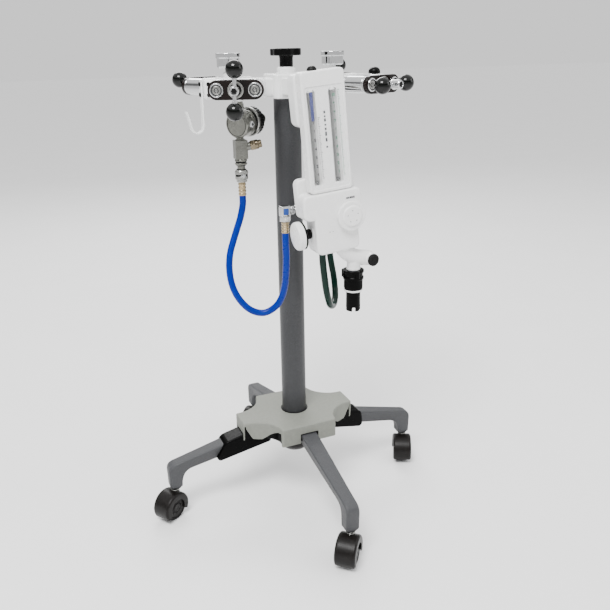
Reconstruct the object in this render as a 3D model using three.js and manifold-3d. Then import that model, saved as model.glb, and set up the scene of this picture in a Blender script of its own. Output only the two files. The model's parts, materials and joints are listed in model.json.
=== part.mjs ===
// Portable gas sedation stand: four-leg wheeled base, mast, four-yoke cylinder manifold and a flowmeter.
// Millimetres. Origin on the floor under the mast axis, +Z up, front (the flowmeter's side) towards -Y,
// the manifold's crossbar along X.
import * as THREE from 'three';
import { mergeVertices } from 'three/addons/utils/BufferGeometryUtils.js';
import Module from 'manifold-3d';

const wasm = await Module();
wasm.setup();

// ---- driving dimensions ----
const GAP = 0.3;              // clearance between touching pieces
const MAST_R = 25.4;          // 2 inch mast tube
const MAST_WALL = 3;
const MAST_BOTTOM = 132;
const MAST_TOP = 866;
const TIP_R = 271;            // caster stem distance from the mast
const TIP_TOP = 123;          // leg top at the tip
const LEG_SLOPE = 0.235;
const LEG_FLAT = 170;         // level inner length of the leg tops
const LEG_DRAFT = 0.4;        // share of the width lost at the leg's underside
const LEG_W = 36;             // leg width at the hub
const LEG_TAPER = 0.24;       // share of the width lost at the tip
const POST_BOTTOM = 62;
const FOOT_TAPER = 0.35;      // share of the width lost in the last 8 mm of the foot
const HUB_R = 38;
const COVER_X = 124;          // half length of the cover
const COVER_Y = 83;           // half width of the cover
const COVER_TOP = 188;
const COVER_BOTTOM = 148;
const SCOOP = { x: 117.5, y: 84.4, r: 57.5 };   // cylinder rests cut in the cover
// lower edge of each rest's wall: share of the way from the cover's end to its side, and height
const WALL_EDGE = [[0.06, 181], [0.1, 168], [0.15, 158], [0.2, 150], [0.4, 149], [0.5, 156], [0.6, 163.5],
  [0.7, 169.5], [0.8, 174], [0.94, 181]];
const BOOT_HALF = 20.5;       // half width of the black boot on the left and right legs
const WHEEL_R = 27.5;
const HOOD = { r: 32.5, half: 20.5 };   // caster hood round its axle, and its half width
const YOKE_Z = 853.5;           // yoke screws and crossbar centre height
const YOKE = { left: -131, right: 141, y: 102, turn: 22, span: 31.4, pillarR: 15, depth: 55 };
const HUB_OUT = 29;           // handle bar distance in front of the yoke plate
const BAR_HALF = 33;          // mast-side ball centre to screw axis
const BALL_R = 14.5;
const BAR = { x0: -160, x1: 195, half: 20, h: 32 };
const BLOCK = { half: 35, z0: 831, z1: 874 };
const GAUGE = { left: -106.5, right: 98.5, y: 12, z0: 885.5, r: 22, h: 25.5 };
const REG = { x: -97, y: -7, z: 789, r: 24, rim: 27 };
const TILT = 5.2;             // sideways hang of the flowmeter, degrees
const TILT_Z = 880;
const FM = { back: -124, front: -147, x0: -36, x1: 44.5, z0: 678, z1: 882 };
const TUBES = [-19.5, 20.5];      // flow tube positions across the flowmeter
const LOW = { back: -105, front: -149 };
const TEE = { x: 73.5, y: -130, lift: 3 };
const HOSE_R = 6.5;

const deg = THREE.MathUtils.degToRad;
const V = (x, y, z) => new THREE.Vector3(x, y, z);

// ---- solid helpers ----
function solid(geometry) {
  let g = geometry.index ? geometry : geometry.clone();
  g.deleteAttribute('normal');
  g.deleteAttribute('uv');
  g = mergeVertices(g, 1e-4);
  const mesh = new wasm.Mesh({
    numProp: 3,
    vertProperties: new Float32Array(g.attributes.position.array),
    triVerts: new Uint32Array(g.index.array),
  });
  return new wasm.Manifold(mesh);
}

function shapeOf(man) {
  const m = man.getMesh();
  const g = new THREE.BufferGeometry();
  g.setAttribute('position', new THREE.BufferAttribute(new Float32Array(m.vertProperties), 3));
  g.setIndex(new THREE.BufferAttribute(new Uint32Array(m.triVerts), 1));
  const flat = g.toNonIndexed();
  flat.computeVertexNormals();
  return flat;
}

const FINENESS = 0.4;
const facets = (n) => Math.max(8, 2 * Math.round((n * FINENESS) / 2));

const union = (first, ...rest) => rest.reduce((a, b) => a.add(b), first);

// cylinder from point a to point b, straight or tapered
function rod(a, b, r, r2 = r, seg = 28) {
  const len = a.distanceTo(b);
  const g = new THREE.CylinderGeometry(r2, r, len, facets(seg));
  g.translate(0, len / 2, 0);
  const q = new THREE.Quaternion().setFromUnitVectors(V(0, 1, 0), b.clone().sub(a).normalize());
  g.applyQuaternion(q);
  g.translate(a.x, a.y, a.z);
  return solid(g);
}

// round cutter whose flats stay outside radius r
function bore(a, b, r, r2 = r, seg = 28) {
  const k = 1 / Math.cos(Math.PI / facets(seg));
  return rod(a, b, r * k, r2 * k, seg);
}

// turned piece: profile of [radius, distance] from a along dir
function turned(profile, a, dir, seg = 32) {
  const g = new THREE.LatheGeometry(profile.map(([r, s]) => new THREE.Vector2(r, s)), facets(seg));
  const q = new THREE.Quaternion().setFromUnitVectors(V(0, 1, 0), dir.clone().normalize());
  g.applyQuaternion(q);
  g.translate(a.x, a.y, a.z);
  const s = solid(g);
  return s.volume() < 0 ? solid(flip(g)) : s;
}

function flip(g) {
  const out = g.clone();
  const idx = out.index.array;
  for (let i = 0; i < idx.length; i += 3) [idx[i], idx[i + 1]] = [idx[i + 1], idx[i]];
  return out;
}

function ball(c, r, seg = 24) {
  const g = new THREE.SphereGeometry(r, facets(seg), Math.round(facets(seg) * 0.6));
  g.translate(c.x, c.y, c.z);
  return solid(g);
}

function roundedRect(x0, y0, x1, y1, r, steps = 2) {
  const s = new THREE.Shape();
  const corner = (cx, cy, a0) => {
    for (let i = 0; i <= steps; i++) {
      const a = deg(a0 + (90 * i) / steps);
      const p = [cx + r * Math.cos(a), cy + r * Math.sin(a)];
      if (a0 === 0 && i === 0) s.moveTo(...p); else s.lineTo(...p);
    }
  };
  corner(x1 - r, y1 - r, 0);
  corner(x0 + r, y1 - r, 90);
  corner(x0 + r, y0 + r, 180);
  corner(x1 - r, y0 + r, 270);
  s.closePath();
  return s;
}

// plate outline swept along +Z from z0 to z1 with its edges eased
function slab(shape, z0, z1, ease = 0, steps = 1) {
  const opts = ease > 0
    ? { depth: z1 - z0 - 2 * ease, bevelEnabled: true, bevelThickness: ease, bevelSize: ease,
        bevelOffset: -ease, bevelSegments: steps, curveSegments: 10 }
    : { depth: z1 - z0, bevelEnabled: false, curveSegments: 10 };
  const g = new THREE.ExtrudeGeometry(shape, opts);
  g.translate(0, 0, z0 + ease);
  return g;
}

// box with rounded vertical edges and eased rims
function box(x0, x1, y0, y1, z0, z1, r = 0, ease = 0) {
  if (r <= 0) {
    const g = new THREE.BoxGeometry(x1 - x0, y1 - y0, z1 - z0);
    g.translate((x0 + x1) / 2, (y0 + y1) / 2, (z0 + z1) / 2);
    return solid(g);
  }
  return solid(slab(roundedRect(x0, y0, x1, y1, r), z0, z1, ease));
}

// the same box with its outline in the XZ plane, swept along Y
function frontBox(x0, x1, y0, y1, z0, z1, r, ease = 0) {
  const g = slab(roundedRect(x0, z0, x1, z1, r), 0, y1 - y0, ease);
  g.rotateX(Math.PI / 2);
  g.translate(0, y1, 0);
  return solid(g);
}

function place(man, matrix) {
  const g = shapeOf(man);
  g.applyMatrix4(matrix);
  return solid(g);
}
const lean = new THREE.Matrix4().makeTranslation(0, 0, TILT_Z)
  .multiply(new THREE.Matrix4().makeRotationY(deg(-TILT)))
  .multiply(new THREE.Matrix4().makeTranslation(0, 0, -TILT_Z));
const spin = (man, angle) => place(man, new THREE.Matrix4().makeRotationZ(deg(angle)));

const group = new THREE.Group();
function add(name, man, color, roughness, metalness) {
  const mat = new THREE.MeshStandardMaterial({ color, roughness, metalness });
  mat.name = name;
  const mesh = new THREE.Mesh(shapeOf(man), mat);
  mesh.name = name;
  group.add(mesh);
}

const CHROME = [0xc9cccf, 0.14, 1.0];
const WHITE = [0xf1f1ef, 0.32, 0.0];
const BLACK = [0x14110f, 0.18, 0.0];
const GREY_CAST = [0x7c7e82, 0.62, 0.25];

// ---- base: hub, legs, cover, liner ----
const hub = turned([[0, 94], [18, 94], [27, 98], [34, 107], [HUB_R, 120], [HUB_R, 176], [0, 176]],
  V(0, 0, 0), V(0, 0, 1), 40)
  .subtract(bore(V(0, 0, MAST_BOTTOM - GAP), V(0, 0, 190), MAST_R + GAP, MAST_R + GAP, 40));
add('base_hub', hub, ...GREY_CAST);

const topAt = (r) => Math.min(LEG_FLAT, TIP_TOP + (TIP_R - 8 - r) * LEG_SLOPE);
const underAt = (r) => 103 + (232 - r) * 0.186;
const FLAT_END = TIP_R - 8 - (LEG_FLAT - TIP_TOP) / LEG_SLOPE;
function legSolid() {
  const s = new THREE.Shape();
  const end = TIP_R + 12;
  s.moveTo(28, LEG_FLAT);
  s.lineTo(FLAT_END, LEG_FLAT);
  s.lineTo(TIP_R - 8, TIP_TOP);
  s.quadraticCurveTo(end, TIP_TOP - 3, end, TIP_TOP - 16);
  s.lineTo(end - 1, POST_BOTTOM + 8);
  s.lineTo(end - 5, POST_BOTTOM);
  s.lineTo(TIP_R - 10, POST_BOTTOM);
  s.lineTo(TIP_R - 15, POST_BOTTOM + 8);
  s.lineTo(TIP_R - 16, POST_BOTTOM + 14);
  s.quadraticCurveTo(TIP_R - 19, underAt(TIP_R - 20) - 1, TIP_R - 39, underAt(TIP_R - 39));
  s.lineTo(28, underAt(28));
  s.closePath();
  const g = new THREE.ExtrudeGeometry(s, { depth: LEG_W - 6, bevelEnabled: true, bevelThickness: 3,
    bevelSize: 3, bevelOffset: -3, bevelSegments: 1, curveSegments: 4 });
  g.translate(0, 0, -(LEG_W - 6) / 2);
  g.rotateX(Math.PI / 2);
  const p = g.attributes.position;
  for (let i = 0; i < p.count; i++) {
    const t = THREE.MathUtils.clamp((p.getX(i) - COVER_Y) / (TIP_R - COVER_Y), 0, 1);
    const low = p.getX(i) > TIP_R - 22 ? 0
      : THREE.MathUtils.clamp((topAt(p.getX(i)) - p.getZ(i)) / 34, 0, 1);
    const foot = THREE.MathUtils.clamp((POST_BOTTOM + 8 - p.getZ(i)) / 8, 0, 1);
    p.setY(i, p.getY(i) * (1 - LEG_TAPER * t) * (1 - LEG_DRAFT * low) * (1 - FOOT_TAPER * foot));
  }
  return solid(g)
    .subtract(bore(V(0, 0, 100), V(0, 0, 200), HUB_R + GAP, HUB_R + GAP, 40))
    .subtract(bore(V(TIP_R, 0, POST_BOTTOM - 1), V(TIP_R, 0, POST_BOTTOM + 14), 6.4));
}
const leg = legSolid();
const LEGS = { right: 0, back: 90, left: 180, front: 270 };
for (const [side, angle] of Object.entries(LEGS)) add(`leg_${side}`, spin(leg, angle), ...GREY_CAST);

const corners = [[1, 1], [-1, 1], [-1, -1], [1, -1]];
function scooped(x, y, r, z0, z1, round, ease) {
  let body = box(-x, x, -y, y, z0, z1, round, ease);
  for (const [i, j] of corners) {
    body = body.subtract(bore(V(i * SCOOP.x, j * SCOOP.y, z0 - 5), V(i * SCOOP.x, j * SCOOP.y, z1 + 5),
      r, r, 48));
  }
  return body;
}
let cover = scooped(COVER_X, COVER_Y, SCOOP.r, COVER_BOTTOM, COVER_TOP, 6, 4);
cover = cover.subtract(scooped(COVER_X - 4, COVER_Y - 4, SCOOP.r + 4, COVER_BOTTOM - 5, COVER_TOP - 4.5, 4, 0));
cover = cover.subtract(bore(V(0, 0, 150), V(0, 0, 200), MAST_R + 2.2, MAST_R + 2.2, 40));
// each rest's wall ends in a sloping lower edge that rises towards the deck beside both arms
const restStart = Math.asin(-Math.sqrt(SCOOP.r ** 2 - (COVER_X - SCOOP.x) ** 2) / SCOOP.r);
const restEnd = -Math.PI + Math.asin((SCOOP.y - COVER_Y) / SCOOP.r);
for (const [i, j] of corners) {
  const verts = [], faces = [];
  for (const [t, z] of WALL_EDGE) {
    const a = restStart + (restEnd - restStart) * t;
    for (const [r, h] of [[SCOOP.r - 3, COVER_BOTTOM - 6], [SCOOP.r + 4.8, COVER_BOTTOM - 6],
      [SCOOP.r + 4.8, z], [SCOOP.r - 3, z]]) {
      verts.push(i * (SCOOP.x + r * Math.cos(a)), j * (SCOOP.y + r * Math.sin(a)), h);
    }
  }
  const last = (WALL_EDGE.length - 1) * 4;
  for (let k = 0; k < last; k += 4) {
    for (let q = 0; q < 4; q++) {
      const n = (q + 1) % 4;
      faces.push(k + q, k + n, k + 4 + n, k + q, k + 4 + n, k + 4 + q);
    }
  }
  faces.push(0, 2, 1, 0, 3, 2, last, last + 1, last + 2, last, last + 2, last + 3);
  const g = new THREE.BufferGeometry();
  g.setAttribute('position', new THREE.BufferAttribute(new Float32Array(verts), 3));
  g.setIndex(faces);
  cover = cover.subtract(solid(i * j < 0 ? flip(g) : g));
}
const SLOT_TOP = topAt(COVER_Y) + 4;
cover = cover.subtract(box(-LEG_W / 2 - 2, LEG_W / 2 + 2, -130, 130, 140, SLOT_TOP))
  .subtract(box(-150, 150, -BOOT_HALF - 1, BOOT_HALF + 1, 140, topAt(112) + 5));
add('base_cover', cover, 0xa9a9a0, 0.7, 0.0);

// black liner under the cover, its ends wrapping the left and right legs
let liner = scooped(COVER_X - 5, COVER_Y - 5, SCOOP.r + 5.5, COVER_BOTTOM + 2, 181, 4, 0);
for (const [dir, endTop, endLow] of [[0, 154, 157], [Math.PI, 165, 182]]) {
  const s = new THREE.Shape([[62, underAt(62) - 4], [endLow - 6, underAt(endLow - 6) - 4],
    [endLow, underAt(endLow) + 4], [endTop, topAt(endTop) + 1], [endTop - 6, topAt(endTop - 6) + 4],
    [100, topAt(100) + 4], [62, LEG_FLAT + 4]].map(([x, z]) => new THREE.Vector2(x, z)));
  const g = new THREE.ExtrudeGeometry(s, { depth: BOOT_HALF * 2 - 4, bevelEnabled: true, bevelThickness: 2,
    bevelSize: 2, bevelOffset: -2, bevelSegments: 1 });
  g.translate(0, 0, -(BOOT_HALF - 2));
  g.rotateX(Math.PI / 2);
  g.rotateZ(dir);
  liner = liner.add(solid(g));
}
// the legs, hub and mast pass through the liner with clearance
const legRoom = (() => {
  const s = new THREE.Shape([[0, LEG_FLAT + 0.6], [FLAT_END, LEG_FLAT + 0.6], [230, topAt(230) + 0.6],
    [230, underAt(230) - 0.6], [100, underAt(100) - 0.6], [99, 60], [0, 60]]
    .map(([x, z]) => new THREE.Vector2(x, z)));
  const g = new THREE.ExtrudeGeometry(s, { depth: LEG_W + 1, bevelEnabled: false });
  g.translate(0, 0, -(LEG_W + 1) / 2);
  g.rotateX(Math.PI / 2);
  return solid(g);
})();
for (const angle of Object.values(LEGS)) liner = liner.subtract(spin(legRoom, angle));
liner = liner.subtract(bore(V(0, 0, 90), V(0, 0, 176.6), HUB_R + 0.6, HUB_R + 0.6, 40))
  .subtract(bore(V(0, 0, 90), V(0, 0, 200), MAST_R + 2, MAST_R + 2, 40));
const linerParts = liner.decompose();
liner = linerParts.reduce((a, b) => (a.volume() > b.volume() ? a : b));
add('base_liner', liner, 0x0d0d0e, 0.35, 0.0);

// ---- casters ----
// swivel angle of each caster about its stem
const CASTERS = { right: 243, back: 138, left: 33, front: 318 };
const TRAIL = 15;
function casterBody() {
  const stem = rod(V(0, 0, 56.3), V(0, 0, POST_BOTTOM + 12), 5.8);
  const collar = rod(V(0, 0, 57), V(0, 0, POST_BOTTOM - 1), 9);
  // hood: a curved shell over the twin wheels
  const s = new THREE.Shape();
  s.absarc(0, 0, HOOD.r, deg(-28), deg(208), false);
  s.closePath();
  const g = new THREE.ExtrudeGeometry(s, { depth: HOOD.half * 2 - 5, bevelEnabled: true, bevelThickness: 2.5,
    bevelSize: 2.5, bevelOffset: -2.5, bevelSegments: 1, curveSegments: 10 });
  g.translate(0, 0, -(HOOD.half - 2.5));
  g.rotateX(Math.PI / 2);
  g.translate(TRAIL, 0, WHEEL_R);
  let hood = solid(g);
  for (const side of [-1, 1]) {
    const y0 = side * 2.5;
    hood = hood.subtract(bore(V(TRAIL, y0, WHEEL_R), V(TRAIL, side * (HOOD.half - 2.4), WHEEL_R),
      WHEEL_R + 1.6, WHEEL_R + 1.6, 36));
    hood = hood.subtract(bore(V(TRAIL, side * 14, WHEEL_R), V(TRAIL, side * 30, WHEEL_R), 18, 18, 32));
  }
  hood = hood.subtract(bore(V(TRAIL, -30, WHEEL_R), V(TRAIL, 30, WHEEL_R), 4.4, 4.4, 20));
  return union(hood, stem, collar, box(-6, 8, -9, 9, 40, 58, 3)
    .subtract(bore(V(TRAIL, -20, WHEEL_R), V(TRAIL, 20, WHEEL_R), WHEEL_R + 1.6, WHEEL_R + 1.6, 36)));
}
function casterWheels() {
  let w = rod(V(TRAIL, -15, WHEEL_R), V(TRAIL, 15, WHEEL_R), 4, 4, 20);
  for (const side of [-1, 1]) {
    const rim = [[0, 0], [WHEEL_R, 0], [WHEEL_R, 11.4], [WHEEL_R - 2, 13], [15, 13], [14, 11.4], [0, 11.4]];
    w = w.add(turned(rim, V(TRAIL, side * 4, WHEEL_R), V(0, side, 0), 36));
  }
  return w;
}
const cBody = casterBody();
const cWheels = casterWheels();
for (const [side, turn] of Object.entries(CASTERS)) {
  const m = new THREE.Matrix4().makeRotationZ(deg(LEGS[side]))
    .multiply(new THREE.Matrix4().makeTranslation(TIP_R, 0, 0))
    .multiply(new THREE.Matrix4().makeRotationZ(deg(turn)));
  add(`caster_${side}`, place(cBody, m), 0x1b1614, 0.3, 0.0);
  add(`caster_wheels_${side}`, place(cWheels, m), 0x111111, 0.45, 0.0);
}

// ---- mast ----
const mast = turned([[MAST_R - MAST_WALL, MAST_BOTTOM], [MAST_R, MAST_BOTTOM], [MAST_R, MAST_TOP],
  [MAST_R - MAST_WALL, MAST_TOP], [MAST_R - MAST_WALL, MAST_BOTTOM]], V(0, 0, 0), V(0, 0, 1), 48);
add('mast_tube', mast, 0x55565a, 0.5, 0.35);

// ---- manifold casting: crossbar, mast block, four yoke seats, flowmeter bracket ----
const yokes = [];
for (const [name, i, j, handle] of [['front_left', -1, -1, 88], ['front_right', 1, -1, 2],
  ['back_left', -1, 1, 20], ['back_right', 1, 1, 118]]) {
  const a = deg(YOKE.turn);
  const d = V(i * Math.sin(a), j * Math.cos(a), 0);
  const e = V(-d.y, d.x, 0);
  const o = V(i < 0 ? YOKE.left : YOKE.right, j * YOKE.y, YOKE_Z);
  yokes.push({ name, d, e, o, handle, m: new THREE.Matrix4().makeBasis(e, V(0, 0, 1), d).setPosition(o) });
}
const inYoke = (man, y) => place(man, y.m);

const zc = YOKE_Z - 2;
const OUTLET = { x: 76, y: 6 };   // green hose port under the crossbar
let casting = frontBox(BAR.x0, BAR.x1, -BAR.half, BAR.half, zc - BAR.h / 2, zc + BAR.h / 2, 5, 3);
casting = union(casting, box(-BLOCK.half, BLOCK.half, -BLOCK.half, BLOCK.half, BLOCK.z0, BLOCK.z1, 8, 3),
  turned([[0, 870], [17, 870], [17, 883], [15, 885], [0, 885]], V(0, 0, 0), V(0, 0, 1)));
for (const y of yokes) {
  const seat = solid(slab(roundedRect(-46.5, -16, 46.5, 16, 6), -95, -YOKE.depth, 2));
  casting = casting.add(inYoke(seat, y));
}
for (const i of [-1, 1]) {
  casting = casting.add(turned([[0, 860], [9, 860], [9, 878], [6, 879], [6, GAUGE.z0], [0, GAUGE.z0]],
    V(i < 0 ? GAUGE.left : GAUGE.right, GAUGE.y, 0), V(0, 0, 1), 24));
}
// bracket reaching forward to the flowmeter's back
casting = union(casting, box(-24, 24, -100, 0, 838, 868, 5, 2),
  place(frontBox(-39, 38, FM.back + GAP, -92, 789, 880, 12, 2), lean));
// outlet ports under the crossbar
casting = union(casting, rod(V(REG.x, REG.y, 829), V(REG.x, REG.y, 840), 9),
  rod(V(OUTLET.x, OUTLET.y, 822), V(OUTLET.x, OUTLET.y, 840), 8.5));
casting = casting.subtract(bore(V(0, 0, 800), V(0, 0, MAST_TOP + GAP), MAST_R + GAP, MAST_R + GAP, 48))
  .subtract(bore(V(0, 0, 860), V(0, 0, 890), 5.4))
  .subtract(bore(V(OUTLET.x, OUTLET.y, 815), V(OUTLET.x, OUTLET.y, 828.5), HOSE_R + GAP))
  .subtract(bore(V(BAR.x1 - 13, 0, 861), V(BAR.x1 - 13, 0, 875), 6.3));
for (const dz of [-9, 9]) {
  casting = casting.subtract(bore(V(BAR.x0 - 1, 0, zc + dz), V(BAR.x0 + 9, 0, zc + dz), 2.8, 2.8, 16));
}
add('manifold_casting', casting, ...WHITE);

const plugZ = zc + BAR.h / 2 + GAP;
const plug = turned([[0, plugZ - 6], [6, plugZ - 6], [6, plugZ], [11.5, plugZ], [11.5, plugZ + 5],
  [9.5, plugZ + 9.5], [5.5, plugZ + 12.4], [0, plugZ + 13]], V(BAR.x1 - 13, 0, 0), V(0, 0, 1), 28);
add('port_plug', plug, ...BLACK);

// ---- clamp knob on the mast top ----
const knobShape = new THREE.Shape();
for (let i = 0; i < 42; i++) {
  const a = (i / 42) * Math.PI * 2;
  const r = 27.2 + 1.9 * Math.cos(7 * a);
  if (i === 0) knobShape.moveTo(r * Math.cos(a), r * Math.sin(a));
  else knobShape.lineTo(r * Math.cos(a), r * Math.sin(a));
}
knobShape.closePath();
const knob = union(solid(slab(knobShape, 904.5, 917, 2)),
  turned([[0, 868.5], [4.9, 868.5], [4.9, 885.4], [12.3, 885.4], [12.3, 906], [0, 906]],
    V(0, 0, 0), V(0, 0, 1)));
add('clamp_knob', knob, 0x151515, 0.35, 0.0);

// ---- yokes ----
function stadium(half, r, steps = 5) {
  const pts = [];
  for (const side of [1, -1]) {
    for (let i = 0; i <= steps; i++) {
      const a = deg(-90 + (180 * i) / steps);
      pts.push(new THREE.Vector2(side * (half - r + r * Math.cos(a)), side * r * Math.sin(a)));
    }
  }
  return new THREE.Shape(pts);
}
const frameSolid = (() => {
  let f = solid(slab(stadium(46.5, 15.8), -YOKE.depth + GAP, -YOKE.depth + 6));
  for (const k of [-1, 1]) {
    f = f.add(turned([[0, -YOKE.depth + 3], [YOKE.pillarR, -YOKE.depth + 3], [YOKE.pillarR, -4.3],
      [11.8, -4.3], [11.8, 6], [10.6, 7.2], [0, 7.2]], V(k * YOKE.span, 0, 0), V(0, 0, 1), 32));
  }
  return f.subtract(bore(V(0, 0, -60), V(0, 0, -46), 4));
})();
const plateSolid = (() => {
  let p = solid(slab(stadium(46.5, 15.8), -4, 4, 1));
  p = p.add(turned([[0, 3], [13, 3], [13, 7], [12, 8], [0, 8]], V(0, 0, 0), V(0, 0, 1)));
  for (const k of [-1, 1]) p = p.subtract(bore(V(k * YOKE.span, 0, -9), V(k * YOKE.span, 0, 9), 12.2, 12.2, 32));
  return p.subtract(bore(V(0, 0, -9), V(0, 0, 12), 6.4));
})();
const padSolid = turned([[0, -28], [7.5, -28], [8.5, -27], [8.5, -21], [0, -21]],
  V(0, 0, 0), V(0, 0, 1));
const screwSolid = turned([[0, -20.7], [4, -20.7], [6, -18.5], [6, 25], [8, 28], [8, 42], [6.6, 44],
  [0, 44]], V(0, 0, 0), V(0, 0, 1));
for (const y of yokes) {
  add(`yoke_frame_${y.name}`, inYoke(frameSolid, y), ...CHROME);
  add(`yoke_plate_${y.name}`, inYoke(plateSolid, y), 0x1d1310, 0.22, 0.1);
  add(`yoke_pad_${y.name}`, inYoke(padSolid, y), 0xb8babc, 0.3, 1.0);
  const h = deg(y.handle);
  const w = V(Math.cos(h), Math.sin(h), 0).multiplyScalar(BAR_HALF);
  const c = V(0, 0, HUB_OUT);
  const hole = bore(c.clone().sub(w), c.clone().add(w), 3.6, 3.6, 20);
  add(`yoke_screw_${y.name}`, inYoke(screwSolid.subtract(hole), y), ...CHROME);
  const bar = union(rod(c.clone().sub(w), c.clone().add(w), 3.2, 3.2, 20),
    ball(c.clone().sub(w), BALL_R, 28), ball(c.clone().add(w), BALL_R, 28));
  add(`yoke_handle_${y.name}`, inYoke(bar, y), 0x0f0f10, 0.12, 0.0);
}

// ---- cylinder pressure gauges ----
for (const [side, i, needleAt] of [['left', -1, 200], ['right', 1, 160]]) {
  const r = GAUGE.r, z = GAUGE.z0 + GAP, top = GAUGE.z0 + GAUGE.h;
  const c = V(i < 0 ? GAUGE.left : GAUGE.right, GAUGE.y, 0);
  const gaugeCase = turned([[0, z], [r - 4, z], [r - 1.2, z + 3], [r - 1.2, z + 17], [r, z + 18.5],
    [r, top - 1.2], [r - 1, top], [r - 2.6, top], [r - 3, top - 6], [0, top - 6]], c, V(0, 0, 1), 40)
    .add(rod(V(c.x, c.y, top - 7), V(c.x, c.y, top - 4.6), 1.1, 1.1, 16));
  add(`gauge_${side}`, gaugeCase, 0xd8dadc, 0.12, 1.0);
  const a = deg(needleAt);
  const dir = V(Math.cos(a), Math.sin(a), 0);
  const s = new THREE.Shape([[-5, -1], [-5, 1], [14, 0.4], [15, 0], [14, -0.4]]
    .map(([x, y]) => new THREE.Vector2(x, y)));
  const g = new THREE.ExtrudeGeometry(s, { depth: 0.9, bevelEnabled: false });
  g.rotateZ(a);
  g.translate(c.x, c.y, top - 4);
  const needle = solid(g).add(rod(V(c.x, c.y, top - 4), V(c.x, c.y, top - 2.4), 2.4, 2.4, 20))
    .subtract(bore(V(c.x, c.y, top - 5), V(c.x, c.y, top - 3.4), 1.5, 1.5, 16));
  add(`gauge_needle_${side}`, needle, 0x101010, 0.5, 0.0);
}

// ---- hanging hook on the crossbar's left end ----
const hookLine = [[0, 864], [0, 792]];
for (let i = 1; i <= 10; i++) {
  const a = deg(-i * 16.2);
  hookLine.push([-11.5 + 11.5 * Math.cos(a), 791 + 14 * Math.sin(a)]);
}
hookLine.push([-30, 815]);
function strip(line, t) {
  const left = [], right = [];
  line.forEach((p, k) => {
    const q = line[Math.max(0, k - 1)], n = line[Math.min(line.length - 1, k + 1)];
    const l = Math.hypot(n[0] - q[0], n[1] - q[1]);
    const nx = -(n[1] - q[1]) / l, ny = (n[0] - q[0]) / l;
    left.push(new THREE.Vector2(p[0] + nx * t, p[1] + ny * t));
    right.push(new THREE.Vector2(p[0] - nx * t, p[1] - ny * t));
  });
  return new THREE.Shape([...left, ...right.reverse()]);
}
const hookG = new THREE.ExtrudeGeometry(strip(hookLine, 1.6), { depth: 14, bevelEnabled: false });
hookG.translate(0, 0, -7);
hookG.rotateX(Math.PI / 2);
hookG.translate(BAR.x0 - GAP - 1.7, 0, 0);
let hook = solid(hookG);
for (const dz of [-9, 9]) {
  const x = BAR.x0;
  hook = hook.add(turned([[0, 0], [2.5, 0], [2.5, 8.4], [4.2, 8.4], [4.2, 10.4], [0, 11]],
    V(x + 8, 0, zc + dz), V(-1, 0, 0), 20).add(rod(V(x - 3.6, 0, zc + dz), V(x - 1, 0, zc + dz), 4.2, 4.2, 20)));
}
add('hanging_hook', hook, 0xf2f2f0, 0.35, 0.0);

// ---- nitrous side regulator under the crossbar ----
const regDir = V(0.81, 0.59, 0.06).normalize();
const regFront = V(REG.x, REG.y, REG.z).addScaledVector(regDir, -9);
const regBody = union(
  turned([[0, 0], [REG.r - 2, 0], [REG.r, 2], [REG.r, 30], [REG.r - 1.5, 31], [REG.r - 1.5, 32.5], [REG.rim, 34],
    [REG.rim, 42], [REG.r, 44], [REG.r, 53], [20, 55], [13, 56], [13, 63], [10.6, 64], [10.6, 82], [0, 83]],
    regFront, regDir, 40),
  rod(V(REG.x, REG.y, REG.z), V(REG.x, REG.y, 829 - GAP), 8),
  rod(V(REG.x, REG.y, 816), V(REG.x, REG.y, 825), 10.5, 10.5, 6),
  rod(V(REG.x, REG.y, REG.z), V(REG.x, REG.y, 759 + GAP), 6.8));
const portDir = V(0.59, -0.81, 0);
const portAt = regFront.clone().addScaledVector(regDir, 13);
const regulator = regBody.add(turned([[0, 15], [6, 15], [6, REG.r + 3.5], [3.5, REG.r + 3.5],
  [3.2, REG.r + 1.5], [0, REG.r + 1.5]], portAt, portDir, 6));
add('regulator', regulator, 0x8f918e, 0.34, 0.85);

const outX = REG.x, outY = REG.y;
const branch = V(0.92, -0.28, 0.2).normalize();
const outlet = union(box(outX - 11.5, outX + 11.5, outY - 10.5, outY + 10.5, 727, 759, 2.5, 1),
  turned([[0, 716], [10.5, 716], [11.5, 718], [11.5, 725], [10.5, 727.5], [0, 727.5]],
    V(outX, outY, 0), V(0, 0, 1), 24),
  rod(V(outX, outY, 706), V(outX, outY, 718), 7.2),
  turned([[0, 684.3], [10, 684.3], [10, 689], [12, 690.5], [12, 695], [11, 696], [11, 699], [12, 700],
    [12, 705], [10.5, 707], [0, 707]], V(outX, outY, 0), V(0, 0, 1), 28),
  turned([[0, 0], [7, 0], [7, 18], [9.2, 19], [9.2, 31], [7.8, 32], [7.8, 39], [0, 40]],
    V(outX, outY, 746), branch, 24));
add('regulator_outlet', outlet, 0xa3a29b, 0.3, 0.9);

const ribbed = (z0, z1, r) => {
  const p = [[0, z0], [r, z0]];
  const n = 3, step = (z1 - z0 - 2) / n;
  for (let i = 0; i < n; i++) {
    const z = z0 + 1 + i * step;
    p.push([r, z], [r - 0.9, z + step * 0.2], [r - 0.9, z + step * 0.55], [r, z + step * 0.75]);
  }
  p.push([r, z1], [0, z1]);
  return p;
};
add('hose_ferrule_upper', turned(ribbed(659, 684, 7.4), V(outX, outY, 0), V(0, 0, 1), 24), 0xc2a878, 0.3, 1.0);

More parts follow.
